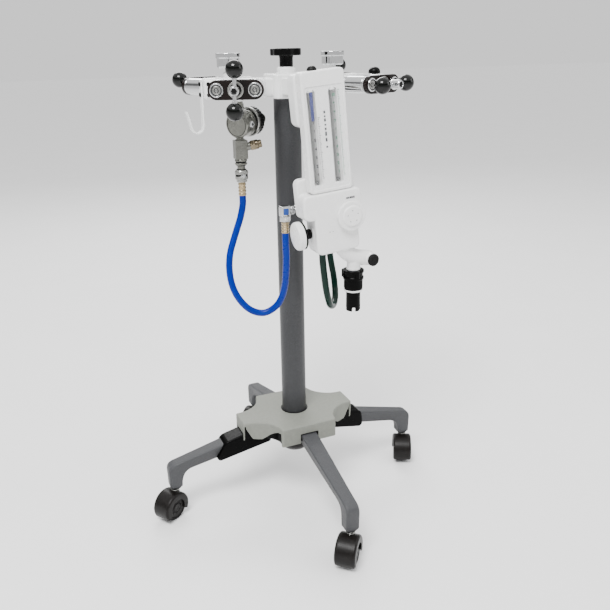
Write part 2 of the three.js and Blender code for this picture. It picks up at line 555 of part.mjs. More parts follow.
// ---- hoses ----
function hose(points, r, step) {
  const curve = new THREE.CatmullRomCurve3(points, false, 'centripetal');
  const n = Math.min(80, Math.max(8, Math.round(curve.getLength() / step)));
  const s = new THREE.Shape();
  for (let i = 0; i < 8; i++) {
    const a = (i / 8) * Math.PI * 2;
    if (i === 0) s.moveTo(r * Math.cos(a), r * Math.sin(a)); else s.lineTo(r * Math.cos(a), r * Math.sin(a));
  }
  s.closePath();
  return solid(new THREE.ExtrudeGeometry(s, { steps: n, bevelEnabled: false, extrudePath: curve }));
}
const IN = { x: -45.5, y: -90.5 };   // lower end of the blue hose
const blueRoute = [[outX, outY, 658.7], [-97.5, -7, 642], [-104, -9, 618], [-113, -12, 597], [-122, -16, 577],
  [-130, -20, 558], [-135, -25, 540], [-137, -30, 520], [-136, -36, 500], [-131, -42, 481], [-122, -48, 464],
  [-109, -54, 449.5], [-94, -58, 441.5], [-80, -62, 440.5], [-67, -66, 446.5], [-56.5, -70, 457],
  [-49, -74, 473], [-45, -79, 495], [-44, -84, 522], [-44, -88, 551], [IN.x, IN.y, 578], [IN.x, IN.y, 599.7]];
add('blue_hose', hose(blueRoute.map((p) => V(...p)), HOSE_R, 24), 0x1747c4, 0.35, 0.0);

const greenRoute = [[OUTLET.x, OUTLET.y, 828.2], [76, 5.5, 800], [76, 4, 740], [76.5, 1, 670], [77.5, -3, 600],
  [79.5, -8, 545], [83, -12, 508], [86.5, -17, 478], [85, -27, 452], [77, -43, 437], [64, -61, 432],
  [51, -76, 440], [41, -88, 458], [33, -96, 482], [27, -101, 512], [23, -103.5, 540], [22, -104, 563.3]];
add('green_hose', hose(greenRoute.map((p) => V(...p)), HOSE_R, 24), 0x0f4636, 0.25, 0.0);

// ---- flowmeter, hung with a slight sideways lean ----
const leaned = (man) => place(man, lean);

let body = frontBox(FM.x0, FM.x1, FM.front, FM.back, FM.z0, FM.z1, 7, 3);
const winZ = [690, 852];
for (const x of TUBES) {
  body = body.subtract(frontBox(x - 8, x + 8, FM.front - 5, FM.front + 11, winZ[0], winZ[1], 3));
}
body = body.subtract(frontBox(FM.x0 + 5, FM.x1 - 5, FM.front - 5, FM.front + 1.2, 684, 857, 3));
body = union(body, turned([[0, -6], [8.5, -6], [8.5, 3], [5, 7.5], [0, 8.5]],
  V(-9, FM.back - 11, 881), V(0, 0, 1), 24));
// tapered bores stand inside the windows
for (const x of TUBES) {
  body = body.add(rod(V(x, FM.front + 6, winZ[0] - 1), V(x, FM.front + 6, winZ[0] + 3), 4.5, 4.5, 20));
}
add('flowmeter_body', leaned(body), ...WHITE);

const windowPane = frontBox(FM.x0 + 5.3, FM.x1 - 5.3, FM.front - 0.6, FM.front + 0.9, 684.3, 856.7, 3);
add('flowmeter_window', leaned(windowPane), 0xf4f6f6, 0.08, 0.0);
for (const [k, x] of TUBES.entries()) {
  const z = winZ[0] + 3.4;
  const fl = turned([[0, z], [2.2, z], [3.6, z + 3.6], [3.6, z + 5.4], [2.6, z + 6.6], [0, z + 6.6]],
    V(x, FM.front + 6, 0), V(0, 0, 1), 20);
  add(`flow_float_${k === 0 ? 'left' : 'right'}`, leaned(fl), 0x161616, 0.4, 0.0);
}

// control block under the flow tubes
const KNOB_Z = 605;
const DIAL = { x: 34, z: 630 };
let low = union(
  frontBox(-53, 60, LOW.front, LOW.back, 632, FM.z0 - GAP, 9, 3),
  frontBox(-53, 60, FM.back + GAP, LOW.back, 640, 703, 9, 2),
  frontBox(-34.5, 50, LOW.front, LOW.back, 566, 650, 10, 3));
low = low.subtract(bore(V(-60, -127, KNOB_Z), V(-20, -127, KNOB_Z), 5.3, 5.3, 24))
  .subtract(bore(V(DIAL.x, LOW.front - 5, DIAL.z), V(DIAL.x, LOW.front + 14, DIAL.z), 6.3, 6.3, 24));
let lowBlock = leaned(low);
lowBlock = lowBlock.subtract(bore(V(22, -104, 540), V(22, -104, 575), HOSE_R + GAP + 1));
add('control_block', lowBlock, ...WHITE);

// side mixture knob
const mixProfile = [[0, 22], [4.9, 22], [4.9, 34.9], [8.6, 34.9], [8.6, 51], [24.2, 51], [25, 52], [25, 54],
  [24.4, 54.6], [25.4, 55.6], [25.4, 64.5], [23.4, 67], [0, 67]];
add('mixture_knob', leaned(turned(mixProfile, V(0, -127, KNOB_Z), V(-1, 0, 0), 40)), 0xf3f3f1, 0.3, 0.0);

// front flow dial
const dialProfile = [[0, LOW.front + 13], [5.9, LOW.front + 13], [5.9, LOW.front - GAP],
  [25.5, LOW.front - GAP], [27, LOW.front - 2], [27, LOW.front - 8], [25.5, LOW.front - 9.5],
  [19, LOW.front - 9.5], [18, LOW.front - 12.5], [0, LOW.front - 12.5]].map(([r, s]) => [r, -s]);
let dial = turned(dialProfile, V(DIAL.x, 0, DIAL.z), V(0, -1, 0), 40);
for (let i = 0; i < 5; i++) {
  const a = deg(20 + i * 72);
  const x = DIAL.x + 11 * Math.cos(a), z = DIAL.z + 11 * Math.sin(a);
  dial = dial.subtract(bore(V(x, LOW.front - 11.5, z), V(x, LOW.front - 14, z), 1.3, 1.3, 12));
}
add('flow_dial', leaned(dial), 0xf3f3f1, 0.3, 0.0);

// ---- blue hose inlet elbow ----
const elbow = union(
  turned(ribbed(600, 622, 7.2), V(IN.x, IN.y, 0), V(0, 0, 1), 24),
  turned([[0, 621.5], [9, 621.5], [10, 623], [10, 630], [9, 632], [0, 632]], V(IN.x, IN.y, 0), V(0, 0, 1), 24),
  box(IN.x - 9, IN.x + 11, IN.y - 5, IN.y + 10, 630, 648, 3, 1),
  rod(V(IN.x + 8, IN.y + 2, 640), V(-22, IN.y + 2, 642), 6.5),
  rod(V(-22, IN.y + 3, 642), V(-22, LOW.back + GAP, 642), 7.5));
add('inlet_elbow', elbow, 0xb4b7bd, 0.16, 1.0);

// ---- bag tee ----
const sweep = (pts, r, n = 7) => hose(pts, r, new THREE.CatmullRomCurve3(pts).getLength() / n);
const T = TEE.lift;
let tee = union(
  sweep([V(40, TEE.y, 588), V(47, TEE.y, 575), V(60, TEE.y, 559), V(78, TEE.y, 549), V(103, TEE.y, 544)], 14.5),
  ball(V(103, TEE.y, 544), 14.5, 24),
  rod(V(TEE.x, TEE.y, 556), V(TEE.x, TEE.y, 523 + T), 12.4),
  rod(V(103, TEE.y, 544), V(105, -146, 544), 12.8, 12));
tee = tee.subtract(bore(V(TEE.x, TEE.y, 522), V(TEE.x, TEE.y, 548), 9.6));
// the tee meets the block through a round seat
const blockCut = leaned(union(frontBox(-60, 50 + GAP, -200, -60, 566 - GAP, 720, 10)));
const teeParts = tee.subtract(blockCut).decompose();
tee = teeParts.reduce((a, b) => (a.volume() > b.volume() ? a : b));
add('bag_tee', tee, ...WHITE);
add('tee_cap', turned([[0, 0], [11, 0], [11.6, 1], [11.6, 4.5], [10.6, 5.5], [8, 5.5], [7.5, 4.8], [0, 4.8]],
  V(105, -146 - GAP, 544), V(2, -16, 0), 32), 0x232323, 0.4, 0.0);

let bag = turned([[10, 442], [13.5, 442], [13.5, 479], [16, 480], [17.3, 482], [17.3, 503], [19.5, 505],
  [19.5, 509], [18, 510.5], [18, 517], [20, 518], [20, 522], [19, 522.7], [10, 522.7], [10, 442]],
V(TEE.x, TEE.y, T), V(0, 0, 1), 36);
for (const a of [30, 150, 270]) {
  const c = V(TEE.x + 18 * Math.cos(deg(a)), TEE.y + 18 * Math.sin(deg(a)), 0);
  bag = bag.add(rod(V(c.x, c.y, 508 + T), V(c.x, c.y, 522.7 + T), 4, 4, 16));
}
for (const [a, h] of [[40, 452], [130, 456], [250, 450], [320, 455]]) {
  const c = V(TEE.x + 12 * Math.cos(deg(a)), TEE.y + 12 * Math.sin(deg(a)), 0);
  bag = bag.subtract(bore(V(c.x, c.y, 435), V(c.x, c.y, h + T), 3.6, 3.6, 12));
}
bag = bag.subtract(bore(V(TEE.x, TEE.y, 430), V(TEE.x, TEE.y, 535), 9.9, 9.9, 36));
add('bag_connector', bag, 0x17130f, 0.2, 0.0);

export default group;
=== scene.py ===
import json
import math

import bmesh
import bpy
from mathutils import Matrix, Vector


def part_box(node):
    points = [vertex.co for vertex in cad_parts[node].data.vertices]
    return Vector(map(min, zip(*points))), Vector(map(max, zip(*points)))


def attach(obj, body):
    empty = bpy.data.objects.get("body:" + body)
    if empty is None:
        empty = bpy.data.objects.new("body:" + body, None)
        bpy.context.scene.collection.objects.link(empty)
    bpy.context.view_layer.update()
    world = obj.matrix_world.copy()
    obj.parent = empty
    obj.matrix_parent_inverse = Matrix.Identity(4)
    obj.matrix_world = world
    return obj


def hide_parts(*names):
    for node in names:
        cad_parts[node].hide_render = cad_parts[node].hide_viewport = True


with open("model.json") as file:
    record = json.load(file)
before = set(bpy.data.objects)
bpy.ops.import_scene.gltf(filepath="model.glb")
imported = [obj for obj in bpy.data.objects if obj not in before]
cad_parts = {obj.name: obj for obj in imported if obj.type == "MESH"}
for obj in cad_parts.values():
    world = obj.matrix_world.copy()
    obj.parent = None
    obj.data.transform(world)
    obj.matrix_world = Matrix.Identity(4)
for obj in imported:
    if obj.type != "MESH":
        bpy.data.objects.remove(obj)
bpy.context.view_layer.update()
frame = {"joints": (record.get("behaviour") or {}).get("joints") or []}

# Portable gas sedation stand. Shapes are written in millimetres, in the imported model's frame
# (+Z up, the flowmeter towards -Y, the crossbar along X), and scaled to metres as they are made.
MM = 0.001
JOINTS = {j["name"]: j for j in frame["joints"]}
SIDES = {"right": 0, "back": 90, "left": 180, "front": 270}
YOKES = ("front_left", "front_right", "back_left", "back_right")
STAND = "stand"


def corner(node, high=0):
    """A CAD node's lowest (or highest) corner, in millimetres."""
    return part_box(node)[high] / MM


def corners(node):
    """A CAD node's lowest and highest corners."""
    return corner(node), corner(node, 1)


def joint_at(name):
    return Vector(JOINTS[name]["pos_m"]) / MM


def joint_axis(name):
    return Vector(JOINTS[name]["axis"]).normalized()


def add_object(name, data):
    """A new object with this data, linked into the scene."""
    obj = bpy.data.objects.new(name, data)
    bpy.context.scene.collection.objects.link(obj)
    return obj


# ---- camera, light and floor ----
SENSOR, LENS = 36.0, 40.7904     # the sensor's width and the focal length
SHIFT = (0.0132, -0.0144)        # of the frame off the lens axis, as a share of its width
CLIP = (0.05, 40)
CAMERA_BACK = 1327.0             # distance of the camera from the mast, and its height
CAMERA_UP = 911.1
BEARING = math.radians(21.79)    # how far round the mast the camera stands
PITCH = math.radians(19.5)
YAW = math.radians(0.466)
ROLL = math.radians(-1.183)
# brightness of the surroundings from straight down (0) to straight up (1), in a grey ramp
SKY = ((0.0, 0.92), (0.10, 0.92), (0.15, 0.22), (0.38, 0.20), (0.50, 1.2), (1.0, 1.5))
SKY_STRENGTH = 1.1
AIM = Vector((0, 0, 0.5))        # the lamps point at this place, in metres
# name, place, size in metres, power in watts
LAMPS = (("key_light", (-1.3, -1.5, 3.4), (1.5, 1.2), 185),
         ("fill_light", (2.6, -1.3, 1.9), (1.6, 1.6), 24),
         ("rear_light", (0.6, 2.6, 2.4), (2.0, 1.2), 64))
FLOOR_SIZE = 60


def make_camera():
    data = bpy.data.cameras.new("camera")
    cam = add_object("camera", data)
    forward = Vector((math.sin(YAW) * math.cos(PITCH), math.cos(YAW) * math.cos(PITCH), -math.sin(PITCH)))
    level = Vector((math.cos(YAW), -math.sin(YAW), 0))
    up = level.cross(forward)
    right = math.cos(ROLL) * level + math.sin(ROLL) * up
    up = -math.sin(ROLL) * level + math.cos(ROLL) * up
    turn = Matrix((right, up, -forward)).transposed().to_4x4()
    place = Matrix.Translation((0, -CAMERA_BACK * MM, CAMERA_UP * MM)) @ turn
    cam.matrix_world = Matrix.Rotation(-BEARING, 4, "Z") @ place
    data.sensor_width = SENSOR
    data.lens = LENS
    data.shift_x, data.shift_y = SHIFT
    data.clip_start, data.clip_end = CLIP
    bpy.context.scene.camera = cam


def area_light(name, at, size, power):
    data = bpy.data.lights.new(name, "AREA")
    data.shape = "RECTANGLE"
    data.size, data.size_y = size
    data.energy = power
    lamp = add_object(name, data)
    lamp.location = at
    lamp.rotation_mode = "QUATERNION"
    lamp.rotation_quaternion = (AIM - Vector(at)).to_track_quat("-Z", "Y")


def make_studio():
    world = bpy.data.worlds.new("studio")
    bpy.context.scene.world = world
    world.use_nodes = True
    tree = world.node_tree
    back = tree.nodes["Background"]
    coords = tree.nodes.new("ShaderNodeTexCoord")
    split = tree.nodes.new("ShaderNodeSeparateXYZ")
    ramp = tree.nodes.new("ShaderNodeValToRGB")
    while len(ramp.color_ramp.elements) < len(SKY):
        ramp.color_ramp.elements.new(0.5)
    for stop, (place, value) in zip(ramp.color_ramp.elements, SKY):
        stop.position = place
        stop.color = (value, value, value, 1)
    tree.links.new(coords.outputs["Generated"], split.inputs[0])
    tree.links.new(split.outputs["Z"], ramp.inputs[0])
    tree.links.new(ramp.outputs[0], back.inputs["Color"])
    back.inputs["Strength"].default_value = SKY_STRENGTH
    for lamp in LAMPS:
        area_light(*lamp)
    bpy.ops.mesh.primitive_plane_add(size=FLOOR_SIZE, location=(0, 0, 0))
    floor = bpy.context.object
    floor.name = "studio_floor"
    floor.data.materials.append(finish("floor_paper", (0.86, 0.86, 0.86), 0.75, tone=0.01, scale=4))


# ---- materials ----
MATS = {}
COAT_ROUGH = 0.06


def finish(name, color, rough, metal=0.0, tone=0.05, rough_tone=0.05, scale=40.0, stretch=(1, 1, 1),
           bumps=(), coat=0.0, alpha=1.0, shine=0.5, specks=None):
    """A procedural surface, kept in MATS. tone is how far the colour wanders, rough_tone the roughness;
    bumps are (kind, scale, depth in millimetres); specks is (scale, share, colour)."""
    mat = bpy.data.materials.new(name)
    mat.use_nodes = True
    nodes, links = mat.node_tree.nodes, mat.node_tree.links
    shader = nodes["Principled BSDF"]
    shader.inputs["Metallic"].default_value = metal
    shader.inputs["Coat Weight"].default_value = coat
    shader.inputs["Coat Roughness"].default_value = COAT_ROUGH
    shader.inputs["Alpha"].default_value = alpha
    shader.inputs["Specular IOR Level"].default_value = shine
    coords = nodes.new("ShaderNodeTexCoord")
    mapping = nodes.new("ShaderNodeMapping")
    mapping.inputs["Scale"].default_value = stretch
    links.new(coords.outputs["Object"], mapping.inputs["Vector"])

    def noise(size, detail=4.0):
        n = nodes.new("ShaderNodeTexNoise")
        n.inputs["Scale"].default_value = size
        n.inputs["Detail"].default_value = detail
        links.new(mapping.outputs["Vector"], n.inputs["Vector"])
        return n.outputs["Fac"]

    def spread(value, low, high, a, b):
        r = nodes.new("ShaderNodeMapRange")
        for key, v in (("From Min", low), ("From Max", high), ("To Min", a), ("To Max", b)):
            r.inputs[key].default_value = v
        links.new(value, r.inputs["Value"])
        return r.outputs["Result"]

    ramp = nodes.new("ShaderNodeValToRGB")
    for k, shift in ((0, -tone), (1, tone)):
        ramp.color_ramp.elements[k].position = 0.3 + 0.4 * k
        ramp.color_ramp.elements[k].color = (*[max(0.0, min(1.0, c * (1 + shift))) for c in color], 1)
    links.new(noise(scale), ramp.inputs["Fac"])
    shade = ramp.outputs["Color"]
    if specks:
        size, share, speck_color = specks
        mix = nodes.new("ShaderNodeMix")
        mix.data_type = "RGBA"
        links.new(spread(noise(size, 2.0), 1 - share - 0.04, 1 - share + 0.04, 0, 1), mix.inputs["Factor"])
        links.new(shade, mix.inputs["A"])
        mix.inputs["B"].default_value = (*speck_color, 1)
        shade = mix.outputs["Result"]
    links.new(shade, shader.inputs["Base Color"])
    links.new(spread(noise(scale * 3.1), 0.3, 0.7, max(0.02, rough - rough_tone),
                     min(1, rough + rough_tone)), shader.inputs["Roughness"])
    normal = None
    for kind, size, depth in bumps:
        if kind == "cells":
            tex = nodes.new("ShaderNodeTexVoronoi")
            tex.inputs["Scale"].default_value = size
            links.new(mapping.outputs["Vector"], tex.inputs["Vector"])
            height = tex.outputs["Distance"]
        else:
            height = noise(size, 3.0)
        bump = nodes.new("ShaderNodeBump")
        bump.inputs["Distance"].default_value = depth * MM
        bump.inputs["Strength"].default_value = 1.0
        links.new(height, bump.inputs["Height"])
        if normal:
            links.new(normal, bump.inputs["Normal"])
        normal = bump.outputs["Normal"]
    if normal:
        links.new(normal, shader.inputs["Normal"])
    MATS[name] = mat
    return mat


finish("grey_cast", (0.044, 0.045, 0.048), 0.52, tone=0.10, scale=420, shine=0.3,
       bumps=(("cells", 520, 0.25), ("noise", 1100, 0.12)), specks=(1700, 0.40, (0.078, 0.079, 0.084)))
finish("cover_plastic", (0.196, 0.203, 0.176), 0.62, tone=0.06, scale=160, shine=0.35,
       bumps=(("noise", 1500, 0.18), ("cells", 900, 0.08)), specks=(1900, 0.40, (0.155, 0.16, 0.147)))
finish("mast_paint", (0.028, 0.0285, 0.0305), 0.42, tone=0.12, scale=300, shine=0.3,
       bumps=(("noise", 1300, 0.12),), specks=(1600, 0.40, (0.055, 0.056, 0.060)))
finish("black_gloss", (0.0006, 0.0006, 0.0006), 0.24, tone=0.2, scale=60, shine=0.06,
       bumps=(("noise", 60, 0.10),))
finish("caster_plastic", (0.0052, 0.0044, 0.004), 0.36, tone=0.3, scale=160, shine=0.18,
       bumps=(("noise", 900, 0.10),), specks=(420, 0.42, (0.010, 0.0088, 0.008)))
finish("tread_rubber", (0.003, 0.0028, 0.0028), 0.6, tone=0.25, scale=150, shine=0.15,
       bumps=(("noise", 900, 0.08),), specks=(600, 0.30, (0.008, 0.0075, 0.007)))
finish("white_gloss", (0.80, 0.805, 0.80), 0.24, tone=0.012, scale=14, coat=0.15,
       bumps=(("noise", 240, 0.035),))
finish("white_plastic", (0.81, 0.81, 0.805), 0.27, tone=0.01, scale=18, coat=0.12,
       bumps=(("noise", 420, 0.02),))
finish("white_matt", (0.80, 0.805, 0.80), 0.5, tone=0.015, scale=60, bumps=(("noise", 900, 0.02),))
finish("chrome", (0.54, 0.545, 0.55), 0.08, 1.0, tone=0.04, rough_tone=0.04, scale=90,
       bumps=(("noise", 90, 0.03),))
finish("satin_nickel", (0.185, 0.185, 0.166), 0.32, 1.0, tone=0.10, rough_tone=0.08, scale=150,
       bumps=(("noise", 700, 0.04),))
finish("turned_steel", (0.33, 0.33, 0.315), 0.28, 1.0, tone=0.10, rough_tone=0.09, scale=60,
       stretch=(1, 1, 9), bumps=(("noise", 600, 0.02),))
finish("pale_brass", (0.42, 0.33, 0.20), 0.28, 1.0, tone=0.10, scale=120, bumps=(("noise", 500, 0.03),))
finish("brass", (0.19, 0.155, 0.105), 0.28, 1.0, tone=0.16, scale=150, bumps=(("noise", 400, 0.03),))
# the yoke plates' dark brown: partly the plate's own dark finish, partly a painted reflection of dark brown
# surroundings in a polished plate
finish("dark_plate_and_reflection", (0.0042, 0.0017, 0.0012), 0.18, tone=0.35, scale=25, shine=0.25,
       bumps=(("noise", 200, 0.02),))
finish("ball_black", (0.0012, 0.0016, 0.0013), 0.08, tone=0.2, scale=50, shine=0.3, rough_tone=0.03,
       bumps=(("noise", 70, 0.03),))
finish("phenolic", (0.0009, 0.0009, 0.0009), 0.30, tone=0.2, scale=120, shine=0.10,
       bumps=(("noise", 500, 0.05),))
finish("soft_black", (0.0026, 0.0026, 0.0026), 0.5, tone=0.2, scale=200, shine=0.16,
       bumps=(("noise", 700, 0.05),))
finish("hose_blue", (0.0003, 0.013, 0.205), 0.30, tone=0.10, scale=70, shine=0.15,
       bumps=(("noise", 500, 0.05),))
finish("hose_green", (0.0002, 0.015, 0.0095), 0.2, tone=0.14, scale=70, shine=0.16,
       bumps=(("noise", 420, 0.04),))
finish("clear_panel", (0.95, 0.96, 0.96), 0.05, tone=0.005, rough_tone=0.02, scale=30, alpha=0.03,
       shine=0.25, bumps=(("noise", 60, 0.01),))
finish("tube_glass", (0.90, 0.92, 0.91), 0.06, tone=0.005, rough_tone=0.02, scale=60, alpha=0.05, shine=0.3,
       bumps=(("noise", 80, 0.01),))
finish("print_blue", (0.006, 0.013, 0.13), 0.4, tone=0.12, scale=300)
finish("print_green", (0.03, 0.20, 0.11), 0.45, tone=0.12, scale=300)
finish("print_dark", (0.025, 0.028, 0.035), 0.5, tone=0.15, scale=300)
finish("tag_blue", (0.008, 0.050, 0.26), 0.35, tone=0.15, scale=160)


# ---- outlines and solids, in millimetres ----
def polar(r, a):
    """The point at radius r and angle a, in radians."""
    return Vector((r * math.cos(a), r * math.sin(a)))


def bend(a, b, c, t):
    """A point on the curve from a to c that b pulls on."""
    return (1 - t) ** 2 * a + 2 * t * (1 - t) * b + t * t * c


def facing(axis, at):
    """The matrix that turns +Z to axis and moves the origin to at."""
    turn = Vector((0, 0, 1)).rotation_difference(Vector(axis).normalized())
    return Matrix.Translation(at) @ turn.to_matrix().to_4x4()


def disc(r, z0, z1):
    """Lathe profile of a solid disc."""
    return [(0, z0), (r, z0), (r, z1), (0, z1)]


def band(r0, r1, z0, z1):
    """Lathe profile of a square-edged ring."""
    return [(r0, z0), (r1, z0), (r1, z1), (r0, z1), (r0, z0)]


def ball(r, step):
    """Lathe profile of a ball, with a point at each step of this many degrees."""
    rim = [tuple(polar(r, math.radians(a))) for a in range(step - 90, 90, step)]
    return [(0, -r), *rim, (0, r)]


def lobed(r, depth, lobes, steps):
    """A closed outline whose radius waves by depth either side of r."""
    angles = [math.tau * i / steps for i in range(steps)]
    return [polar(r + depth * math.cos(lobes * a), a) for a in angles]


EDGE_SHARE = 0.46                # how much of an edge the rounding of one corner may take
MITRE_LIMIT = 0.35


def eased(points, r, closed=False, steps=3, min_turn=20):
    """The same 2-D line with each sharp corner rounded to about radius r."""
    out, n = [], len(points)
    for k, p in enumerate(points):
        p = Vector(p)
        if not closed and k in (0, n - 1):
            out.append(p)
            continue
        a, b = Vector(points[k - 1]), Vector(points[(k + 1) % n])
        into, away = p - a, b - p
        if min(into.length, away.length) < 1e-6 or into.angle(away) < math.radians(min_turn):
            out.append(p)
            continue
        reach = min(r, EDGE_SHARE * into.length, EDGE_SHARE * away.length)
        start, stop = p - into.normalized() * reach, p + away.normalized() * reach
        out += [bend(start, p, stop, i / steps) for i in range(steps + 1)]
    return out


def offset(outline, d):
    """The closed outline moved outwards by d (inwards if negative); it runs anticlockwise."""
    out, n = [], len(outline)
    for k in range(n):
        a, p, b = outline[k - 1], outline[k], outline[(k + 1) % n]
        u, v = (p - a).normalized(), (b - p).normalized()
        nu, nv = Vector((u.y, -u.x)), Vector((v.y, -v.x))
        m = nu + nv
        if m.length < 1e-6:
            out.append(p + nu * d)
            continue
        m.normalize()
        out.append(p + m * (d / max(MITRE_LIMIT, m.dot(nu))))
    return out


def rect(x0, y0, x1, y1, r, steps=6):
    centres = ((x1 - r, y1 - r, 0), (x0 + r, y1 - r, 90), (x0 + r, y0 + r, 180), (x1 - r, y0 + r, 270))
    return [Vector((x, y)) + polar(r, math.radians(a + 90 * i / steps)) for x, y, a in centres
            for i in range(steps + 1)]


def stadium(half, r):
    return rect(-half, -r, half, r, r - 0.001, 16)


def ring_skin(bm, rings, looped=False):
    """Joins the rings in turn, and closes both ends unless the last ring joins the first."""
    rows = [[bm.verts.new(p) for p in ring] for ring in rings]
    pairs = list(zip(rows, rows[1:]))
    if looped:
        pairs.append((rows[-1], rows[0]))
    for a, b in pairs:
        for i in range(len(a)):
            j = (i + 1) % len(a)
            bm.faces.new((a[i], a[j], b[j], b[i]))
    if not looped:
        bm.faces.new(rows[0][::-1])
        bm.faces.new(rows[-1])
    return bm


# Each solid is added to bm, a BMesh, which is also returned.
def prism(bm, outline, z0, z1, ease=1.0, to=None, steps=3):
    """outline raised from z0 to z1 with rounded rims; to is a matrix."""
    rings = [(z0, 0), (z1, 0)]
    if ease > 0:
        low = [(z0 + ease - ease * math.cos(math.radians(90 * i / steps)),
                -ease + ease * math.sin(math.radians(90 * i / steps))) for i in range(steps + 1)]
        rings = low + [(z0 + z1 - z, d) for z, d in reversed(low)]
    made = [[Vector((p.x, p.y, z)) for p in offset(outline, d)] for z, d in rings]
    if to:
        made = [[to @ p for p in ring] for ring in made]
    return ring_skin(bm, made)


# outline in the XZ plane, raised along Y
FRONT = Matrix(((1, 0, 0, 0), (0, 0, 1, 0), (0, 1, 0, 0), (0, 0, 0, 1)))
# outline in the YZ plane, raised along X
ACROSS = Matrix(((0, 0, 1, 0), (1, 0, 0, 0), (0, 1, 0, 0), (0, 0, 0, 1)))


def block(bm, x0, x1, y0, y1, z0, z1, r=3.0, ease=1.5):
    """A box whose upright edges have radius r."""
    return prism(bm, rect(x0, y0, x1, y1, r), z0, z1, ease)


def front_block(bm, x0, x1, y0, y1, z0, z1, r=3.0, ease=1.5, to=None):
    """A box whose edges along Y have radius r."""
    m = FRONT if to is None else to @ FRONT
    return prism(bm, rect(x0, z0, x1, z1, r), y0, y1, ease, m)


def turned(bm, profile, at=(0, 0, 0), axis=(0, 0, 1), segs=64, ease=0.5, steps=3):
    """A lathe piece. The profile holds (radius, distance along the axis) and starts and ends on the
    axis, or ends where it starts."""
    looped = profile[0] == profile[-1] and profile[0][0] > 0
    line = eased(profile[:-1] if looped else profile, ease, looped, steps)
    m = facing(axis, at)
    rows = []
    for p in line:
        if p.x < 1e-4:
            rows.append([bm.verts.new(m @ Vector((0, 0, p.y)))])
        else:
            ring = [polar(p.x, math.tau * i / segs) for i in range(segs)]
            rows.append([bm.verts.new(m @ Vector((*q, p.y))) for q in ring])
    pairs = list(zip(rows, rows[1:]))
    if looped:
        pairs.append((rows[-1], rows[0]))
    for a, b in pairs:
        if len(a) == 1 and len(b) == 1:
            continue
        for i in range(segs):
            j = (i + 1) % segs
            if len(a) == 1:
                bm.faces.new((a[0], b[j], b[i]))
            elif len(b) == 1:
                bm.faces.new((a[i], a[j], b[0]))
            else:
                bm.faces.new((a[i], a[j], b[j], b[i]))
    return bm


def rod(bm, a, b, r, r2=None, ease=0.6, segs=40):
    """A round bar from a to b, tapering to radius r2 if that is given."""
    a, b = Vector(a), Vector(b)
    length = (b - a).length
    return turned(bm, [(0, 0), (r, 0), (r2 or r, length), (0, length)], a, b - a, segs, ease)


def ridges(bm, count, ring_r, at, run, r, segs=8, ease=0.2):
    """Thin rods evenly spaced round a circle about at. Each lies along run, which is along an axis."""
    at, run = Vector(at), Vector(run)
    for k in range(count):
        c, s = polar(ring_r, math.tau * k / count)
        p = at + Vector((0, c, s) if run.x else (c, 0, s) if run.y else (c, s, 0))
        rod(bm, p, p + run, r, segs=segs, ease=ease)


def hexagon(bm, r, s0, s1, at, axis=(0, 0, 1), ease=0.8, spin=0.0):
    outline = eased([polar(r, math.tau * i / 6 + spin) for i in range(6)], 0.8, closed=True)
    return prism(bm, outline, s0, s1, ease, facing(axis, at))


def blend(a, b, at_a, at_b, s):
    return (at_b - s) / (at_b - at_a) * a + (s - at_a) / (at_b - at_a) * b


def smooth_line(points, per):
    """A centripetal Catmull-Rom curve through the points."""
    pts = [Vector(p) for p in points]
    pts = [pts[0] * 2 - pts[1]] + pts + [pts[-1] * 2 - pts[-2]]
    out = []
    for k in range(1, len(pts) - 2):
        p0, p1, p2, p3 = pts[k - 1:k + 3]
        t = [0.0]
        spans = ((p0, p1), (p1, p2), (p2, p3))
        for a, b in spans:
            t.append(t[-1] + max(1e-6, (b - a).length) ** 0.5)
        for i in range(per):
            s = t[1] + (t[2] - t[1]) * i / per
            a1, a2, a3 = (blend(a, b, t[j], t[j + 1], s) for j, (a, b) in enumerate(spans))
            b1, b2 = blend(a1, a2, t[0], t[2], s), blend(a2, a3, t[1], t[3], s)
            out.append(blend(b1, b2, t[1], t[2], s))
    out.append(pts[-2])
    return out


def swept(bm, points, section):
    """section's 2-D points carried along the line; their first axis lies along +Y."""
    rings, n = [], len(points)
    side = Vector((0, 1, 0))
    for k, p in enumerate(points):
        ahead = (points[min(n - 1, k + 1)] - points[max(0, k - 1)]).normalized()
        side = (side - ahead * side.dot(ahead)).normalized()
        third = ahead.cross(side)
        rings.append([p + side * q[0] + third * q[1] for q in section])
    return ring_skin(bm, rings)


def circle(r):
    return [polar(r, math.tau * i / 32) for i in range(32)]


def evaluated(bm, modify, others=()):
    """bm after modifiers set up by modify(object, *other objects)."""
    objs = []
    for b in (bm, *others):
        bmesh.ops.recalc_face_normals(b, faces=b.faces)
        mesh = bpy.data.meshes.new("work")
        b.to_mesh(mesh)
        b.free()
        objs.append(add_object("work", mesh))
    modify(*objs)
    graph = bpy.context.evaluated_depsgraph_get()
    done = objs[0].evaluated_get(graph)
    out = bmesh.new()
    out.from_mesh(done.to_mesh())
    done.to_mesh_clear()
    for o in objs:
        mesh = o.data
        bpy.data.objects.remove(o)
        bpy.data.meshes.remove(mesh)
    return out


def carved(bm, *cutters):
    """bm with each cutter taken away from it."""
    def modify(o, tool):
        mod = o.modifiers.new("cut", "BOOLEAN")
        mod.operation = "DIFFERENCE"
        mod.solver = "EXACT"
        mod.object = tool
    for cutter in cutters:
        bm = evaluated(bm, modify, (cutter,))
    return bm


def cast(bm, voxel, rounds):
    """The solids fused into one skin with soft inside corners, like a casting or moulding."""
    def modify(o):
        mesh = o.modifiers.new("skin", "REMESH")
        mesh.mode = "VOXEL"
        mesh.voxel_size = voxel
        ease = o.modifiers.new("ease", "SMOOTH")
        ease.factor = 0.5
        ease.iterations = rounds
    return evaluated(bm, modify)


BEVEL_FROM = math.radians(50)    # edges sharper than this are bevelled


